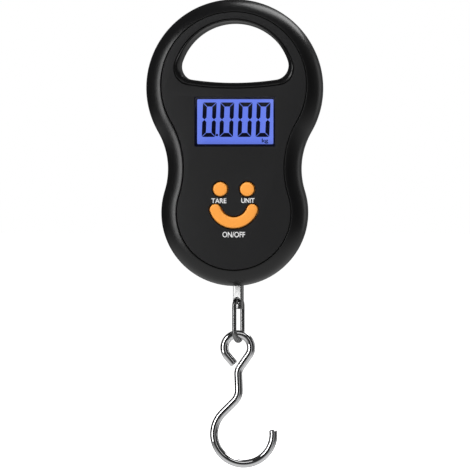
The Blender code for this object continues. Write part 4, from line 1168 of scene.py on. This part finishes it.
def battery(name, x, base_z, upward):
    """Sleeve and can of one cell, measured from its flat end."""
    axis = (0, 0, upward)
    length = 43.5
    can = [(0, 0.15), (2.6, 0.15), (2.8, 0.0), (4.6, 0.0), (4.95, 0.25), (4.95, length - 0.35),
           (4.6, length - 0.1)]
    can += [(3.4, length - 0.1), (3.1, length - 0.4), (2.1, length - 0.4), (2.0, length + 0.85),
            (1.75, length + 1.0)]
    can += [(0, length + 1.0)]
    sleeve = [(0, 0.4), (4.9, 0.4), (5.1, 0.3), (BATTERY_R, 0.5), (BATTERY_R, length - 0.6),
              (5.12, length - 0.35)]
    sleeve += [(4.75, length - 0.3), (0, length - 0.5)]
    centre = (x, BATTERY_Y, base_z)
    settle(lathe(f"{name}_can", can, centre, axis, nickel), "case", "nickel_contact", name)
    label = lathe(f"{name}_sleeve", sleeve, centre, axis, sleeve_material(upward, base_z))
    settle(label, "case", "battery_label", name)


battery("battery_left", -BATTERY_X, box_mm("battery_left")[0].z, 1)
battery("battery_right", BATTERY_X, box_mm("battery_right")[1].z, -1)


def coil_tree():
    """A conical coil of round wire, one on each seed point."""
    tree, given = growth_tree("conical coil", ["Wide Radius", "Narrow Radius", "Height", "Wire Radius"],
                              ["Turns"])
    helix = add_node(
        tree, "GeometryNodeCurveSpiral", Resolution=40, Rotations=given["Turns"],
        Start_Radius=given["Wide Radius"],
        End_Radius=given["Narrow Radius"], Height=given["Height"],
    )
    section = add_node(tree, "GeometryNodeCurvePrimitiveCircle", Resolution=16, Radius=given["Wire Radius"])
    solid = add_node(
        tree, "GeometryNodeCurveToMesh", Curve=helix.outputs[0], Profile_Curve=section.outputs[0],
        Fill_Caps=True,
    )
    return finish_growth(tree, solid.outputs[0], given, turn=(0, 0, 0))


CONICAL_COIL = coil_tree()
SPRING_WIRE_R = 0.28
for side in ("left", "right"):
    low, high = box_mm(f"contact_spring_{side}")
    seat = ((-1 if side == "left" else 1) * BATTERY_X, BATTERY_Y, low.z + SPRING_WIRE_R)
    radii = (3.3, 1.8) if side == "left" else (1.8, 3.3)
    spring = grow(
        f"contact_coil_{side}", CONICAL_COIL, [seat], nickel, Wide_Radius=radii[0], Narrow_Radius=radii[1],
        Height=high.z - low.z - 2 * SPRING_WIRE_R, Wire_Radius=SPRING_WIRE_R, Turns=3,
    )
    settle(spring, "case", "nickel_contact", f"contact_spring_{side}")


# =============================================================== battery door
# Matte black door that slides down out of the slot. Two tongues hold it under the slot's edges, and five
# short grooves near its top give the thumb a grip.

GROOVE_COUNT = 5
GROOVE_PITCH = 2.0
GROOVE_HALF = 6.4


def groove_tree():
    """Round bars set side by side down the door, used to cut its thumb grooves."""
    tree, given = growth_tree("thumb grooves", ["Radius", "Length", "Pitch"], ["Count"])
    step = add_node(tree, "ShaderNodeCombineXYZ",
                    Z=calculate(tree, "MULTIPLY", given["Pitch"], -1.0)).outputs[0]
    row = add_node(tree, "GeometryNodeMeshLine", Count=given["Count"], Offset=step)
    bar = add_node(tree, "GeometryNodeMeshCylinder", Vertices=32, Radius=given["Radius"],
                   Depth=given["Length"])
    turned = add_node(tree, "GeometryNodeTransform", Geometry=bar.outputs[0])
    turned.inputs["Rotation"].default_value = (0, math.pi / 2, 0)
    bars = add_node(tree, "GeometryNodeInstanceOnPoints", Points=row.outputs[0], Instance=turned.outputs[0])
    return finish_growth(tree, bars.outputs[0], given, turn=(0, 0, 0))


def battery_door():
    door = block("door_plate", (-DOOR_HALF, DOOR_HALF), (door_low.y, BACK_Y), (door_low.z, door_high.z),
                 matte_case,
                 0.2)
    tongue = (-DOOR_TONGUE_HALF, DOOR_TONGUE_HALF)
    join(door, block("door_tongues", tongue, (door_low.y + 0.05, DOOR_TONGUE_Y),
                     (door_low.z, door_high.z - 0.1)))
    keep_inside(door, loft("door_limit", [ring_at(case_outline(), PARTING), *back_rings()]))
    first = (0.0, BACK_Y + 0.35, door_high.z - 6.0)
    bars = grow(
        "thumb_bars", groove_tree(), [first], matte_case, Radius=0.8, Length=2 * GROOVE_HALF,
        Pitch=GROOVE_PITCH,
        Count=GROOVE_COUNT,
    )
    return cut(door, bars)


matte_case = moulded("matte black case", (0.014, 0.014, 0.0145), 0.5, grain=4200.0, mottle=0.05, bump=0.4)
settle(smooth(battery_door()), "door", "matte_case", "battery_door")


# ================================================================ case screws
# Zinc-plated self-tapping screws, driven from the back through the rear bosses into the front shell.

CASE_SCREW_NODES = [f"case_screw_{name}"
                    for name in ("upper_left", "upper_right", "lower_left", "lower_right")]
screws("case_screws", case_screw_places, 4.3, HEAD_BACK, CASE_SCREW_NODES,
       Head_Radius=2.5, Head_Height=2.0, Shank_Radius=1.15, Length=10.6, Thread_Pitch=1.1, Recess=3.2)


# ============================================================= swivel hanger
# Steel with a dull nickel plate: a headed shank that turns in the load cell, and below the case a flat bar
# with a cross hole for the link.

HANGER_TURN = math.radians(-22)
EYE_Z = -116.3
EYE_R = 1.25
HEAD_R = 2.3
SHANK_R = 1.3
BAR_HALF = (2.0, 1.4)
BAR_Z = (-119.9, -99.5)
chrome = metal("chrome plate", (0.82, 0.82, 0.83), 0.07, marks=420.0, spread=0.05, tone=0.02, bump=0.03)
nickel_plate = metal("dull nickel plate", (0.27, 0.27, 0.27), 0.25, marks=900.0, spread=0.14, tone=0.3,
                     bump=0.2)
hanger_high = box_mm("swivel_hanger")[1].z


def swing_about_hanger(piece):
    """Turns a mesh made about the eye's centre to the way the hanger hangs."""
    place = Matrix.Translation(Vector((HANG_X, HANG_Y, EYE_Z)) * MM)
    piece.data.transform(place @ Matrix.Rotation(HANGER_TURN, 4, "Z"))
    return piece


def swivel_hanger():
    top, seat, end = hanger_high - EYE_Z, hanger_high - 2.4 - EYE_Z, BAR_Z[1] - 0.8 - EYE_Z
    profile = [(0, top), (HEAD_R - 0.5, top), (HEAD_R - 0.15, top - 0.15), (HEAD_R, top - 0.5),
               (HEAD_R, seat)]
    hanger = lathe("hanger_forging", profile + [(SHANK_R, seat), (SHANK_R, end), (0, end)], (0, 0, 0),
                   (0, 0, 1), nickel_plate)
    spans = [(-BAR_HALF[0], BAR_HALF[0]), (-BAR_HALF[1], BAR_HALF[1]), (BAR_Z[0] - EYE_Z, BAR_Z[1] - EYE_Z)]
    join(hanger, block("hanger_bar", *spans, edge=0.42))
    face = BAR_HALF[1]
    flare = [(0, -face - 0.6), (EYE_R + 0.85, -face - 0.6), (EYE_R, -face + 0.25), (EYE_R, face - 0.25)]
    flare += [(EYE_R + 0.85, face + 0.6), (0, face + 0.6)]
    return swing_about_hanger(smooth(cut(hanger, lathe("eye_cutter", flare, (0, 0, 0), (0, 1, 0), None))))


settle(swivel_hanger(), "hanger", "chrome_steel", "swivel_hanger")


# ======================================================================= link
# Long oval link of thin nickel-plated wire, bent round the hanger's eye and butt-welded.

LINK_WIRE_R = 0.9
LINK_HALF = 4.2
LINK_CORNER_R = 2.4
LINK_BOTTOM_Z = -133.3


def link_route():
    """The link's centreline in its own plane, measured from the hanger's eye."""
    half, corner = LINK_HALF, LINK_CORNER_R
    low = LINK_BOTTOM_Z - EYE_Z + half
    points = arc((corner - half, -corner), corner, math.pi, math.pi / 2, 14)
    points += arc((half - corner, -corner), corner, math.pi / 2, 0, 14)
    points += [(half, -corner + (low + corner) * i / 8) for i in range(8)]
    points += arc((0, low), half, 0, -math.pi, 40)
    return points + [(-half, low - (low + corner) * i / 8) for i in range(8)]


link = wire("chain_link", [(0, y, z) for y, z in link_route()], LINK_WIRE_R, nickel_plate, closed=True)
settle(swing_about_hanger(link), "chain_link", "chrome_steel", "link")


# ======================================================================= hook
# Chromed spring-steel wire, cold bent: an open eye that hangs in the link, a short stem, and a round bend
# that ends in a blunt chamfered tip.

HOOK_WIRE_R = 1.7
HOOK_TOP_Z = -130.5
HOOK_EYE_R = 5.6
HOOK_END_ANGLE = math.radians(220.6)
HOOK_END_LENGTH = 4.4
HOOK_NECK_ANGLE = math.radians(-35)
HOOK_STEM_X = 0.15
HOOK_STEM_LOWER_X = 0.6
HOOK_NECK_FILLET = 5.0
HOOK_SHOULDER_FILLET = 7.0
HOOK_BEND = (2.5, -172.45)
HOOK_BEND_R = 12.47
HOOK_TIP_ANGLE = math.radians(8.5)
HOOK_CHAMFER = 0.45


def fillet(before, corner, after, radius, steps=16):
    """Arc points that round a corner of a path in the x-z plane."""
    before, corner, after = Vector(before), Vector(corner), Vector(after)
    incoming, outgoing = (corner - before).normalized(), (after - corner).normalized()
    bend = incoming.angle(outgoing)
    reach = radius * math.tan(bend / 2)
    middle = corner + (outgoing - incoming).normalized() * (radius / math.cos(bend / 2))
    first = (corner - incoming * reach - middle).normalized()
    last = (corner + outgoing * reach - middle).normalized()
    return [tuple(middle + radius * first.slerp(last, i / steps)) for i in range(steps + 1)]


def hook_route():
    """The hook's centreline as (x, z): open eye, neck, stem, shoulder, round bend and tip."""
    eye_z = HOOK_TOP_Z - HOOK_EYE_R
    start, neck = HOOK_END_ANGLE, HOOK_NECK_ANGLE
    leave = Vector((HOOK_EYE_R * math.cos(start), eye_z + HOOK_EYE_R * math.sin(start)))
    along = Vector((-math.sin(start), math.cos(start)))
    first = leave + along * HOOK_END_LENGTH
    route = [tuple(first), tuple(first - along * HOOK_CHAMFER)]
    route += arc((0, eye_z), HOOK_EYE_R, start, neck, 60)
    touch = Vector((HOOK_EYE_R * math.cos(neck), eye_z + HOOK_EYE_R * math.sin(neck)))
    down = Vector((math.sin(neck), -math.cos(neck)))
    neck_corner = touch + down * ((HOOK_STEM_X - touch.x) / down.x)
    quarter = math.radians(135)
    bend_x, bend_z = HOOK_BEND
    shoulder = Vector((bend_x + HOOK_BEND_R * math.cos(quarter), bend_z + HOOK_BEND_R * math.sin(quarter)))
    shoulder_corner = Vector((HOOK_STEM_LOWER_X, shoulder.y + HOOK_STEM_LOWER_X - shoulder.x))
    route.append(tuple(touch))
    route += fillet(touch, neck_corner, shoulder_corner, HOOK_NECK_FILLET)
    route += fillet(neck_corner, shoulder_corner, shoulder, HOOK_SHOULDER_FILLET)
    tip = math.tau + HOOK_TIP_ANGLE
    route += arc(HOOK_BEND, HOOK_BEND_R, quarter, tip - HOOK_CHAMFER / HOOK_BEND_R, 84)
    for angle in (tip - HOOK_CHAMFER / HOOK_BEND_R, tip):
        route.append((bend_x + HOOK_BEND_R * math.cos(angle), bend_z + HOOK_BEND_R * math.sin(angle)))
    return route


hook_points = hook_route()
hook_high = box_mm("hook")[1]
right_most = max(x for x, z in hook_points) + HOOK_WIRE_R
hook_shift = hook_high.x - right_most
hook = wire(
    "wire_hook", [(x + hook_shift, HANG_Y, z) for x, z in hook_points], HOOK_WIRE_R, chrome, tip=0.72,
    sides=48,
)
settle(hook, "hook", "chrome_steel", "hook")


# ===================================================================== studio
# A pale floor and background, and five soft lights round the scale, with darkness between them: left, high
# behind on the right, above, front right and right. A sixth, the front fill, lights surfaces but shows in no
# reflection.

FRAME_CENTRE = Vector((0.0, 0.0, -0.0889))
FRAME_HEIGHT = 0.1974
CAMERA_DISTANCE = 1.6
CAMERA_AZIMUTH = math.radians(2.2)
CAMERA_ELEVATION = math.radians(1.0)
SENSOR = 36.0
FLOOR_Z = -0.192


def direction(azimuth, elevation):
    """Unit vector from the scale towards a light or the camera; azimuth 0 is the front, 90 the right."""
    flat = math.cos(elevation)
    return Vector((flat * math.sin(azimuth), -flat * math.cos(azimuth), math.sin(elevation)))


def aimed(obj, place, target):
    obj.location = place
    obj.rotation_euler = (target - place).to_track_quat("-Z", "Y").to_euler()
    bpy.context.scene.collection.objects.link(obj)
    return obj


lens = bpy.data.cameras.new("studio_camera")
lens.sensor_width = SENSOR
lens.lens = SENSOR * CAMERA_DISTANCE / FRAME_HEIGHT
lens.clip_end = 20.0
camera_place = FRAME_CENTRE + CAMERA_DISTANCE * direction(CAMERA_AZIMUTH, CAMERA_ELEVATION)
bpy.context.scene.camera = aimed(bpy.data.objects.new("studio_camera", lens), camera_place, FRAME_CENTRE)

SOFTBOXES = {
    "left_strip": (-52, 8, 0.9, (0.28, 0.9), 5.2),
    "right_high": (131, 59, 0.9, (0.42, 0.75), 4.2),
    "overhead": (5, 42, 1.2, (0.9, 0.3), 1.3),
    "right_strip": (24, 0, 1.2, (0.15, 1.0), 0.9),
    "right_back": (120, 5, 1.2, (0.4, 0.8), 0.6),
    "front_fill": (-8, 35, 1.5, (1.2, 1.2), 3.9),
}
for name, (azimuth, elevation, distance, (width, height), radiance) in SOFTBOXES.items():
    light = bpy.data.lights.new(name, "AREA")
    light.shape = "RECTANGLE"
    light.size, light.size_y = width, height
    light.energy = radiance * math.pi * width * height
    place = FRAME_CENTRE + distance * direction(math.radians(azimuth), math.radians(elevation))
    lamp = aimed(bpy.data.objects.new(name, light), place, FRAME_CENTRE)
    lamp.visible_camera = False
    lamp.visible_transmission = False
    lamp.visible_glossy = name != "front_fill"


def studio_world():
    """White to the camera. To the scale it glows dimly from below, and faintly from the right and behind."""
    world = bpy.data.worlds.new("studio")
    world.use_nodes = True
    tree = world.node_tree
    background = tree.nodes["Background"]
    place = tree.nodes.new("ShaderNodeTexCoord").outputs["Generated"]
    split = add_node(tree, "ShaderNodeSeparateXYZ", Vector=place).outputs
    below = add_node(
        tree, "ShaderNodeMapRange", Value=split["Z"], From_Min=-0.2, From_Max=-0.6, To_Min=0.0, To_Max=0.6,
    ).outputs[0]
    lean = calculate(tree, "MULTIPLY_ADD", split["X"], 0.75, calculate(tree, "MULTIPLY", split["Y"], 0.65))
    right_back = add_node(
        tree, "ShaderNodeMapRange", Value=lean, From_Min=0.35, From_Max=1.0, To_Min=0.03, To_Max=0.16,
    ).outputs[0]
    level = calculate(tree, "ADD", below, right_back)
    seen = tree.nodes.new("ShaderNodeLightPath").outputs["Is Camera Ray"]
    away = calculate(tree, "SUBTRACT", 1.0, seen)
    tree.links.new(calculate(tree, "MULTIPLY_ADD", level, away, seen), background.inputs["Strength"])
    background.inputs["Color"].default_value = (1.0, 1.0, 1.0, 1.0)
    return world


def studio_floor():
    bm = bmesh.new()
    bmesh.ops.create_grid(bm, x_segments=1, y_segments=1, size=6000.0)
    floor = place_mesh("studio_floor", bm)
    floor.data.transform(Matrix.Translation((0, 0, FLOOR_Z)))
    white = bpy.data.materials.new("white floor")
    white.use_nodes = True
    shader = white.node_tree.nodes["Principled BSDF"]
    shader.inputs["Base Color"].default_value = (0.9, 0.9, 0.9, 1.0)
    shader.inputs["Emission Color"].default_value = (1.0, 1.0, 1.0, 1.0)
    shader.inputs["Emission Strength"].default_value = 1.0
    floor.data.materials.append(white)
    floor.visible_glossy = False
    floor.visible_diffuse = False
    floor.visible_transmission = False


bpy.context.scene.world = studio_world()
bpy.context.scene.view_settings.view_transform = "Standard"
studio_floor()
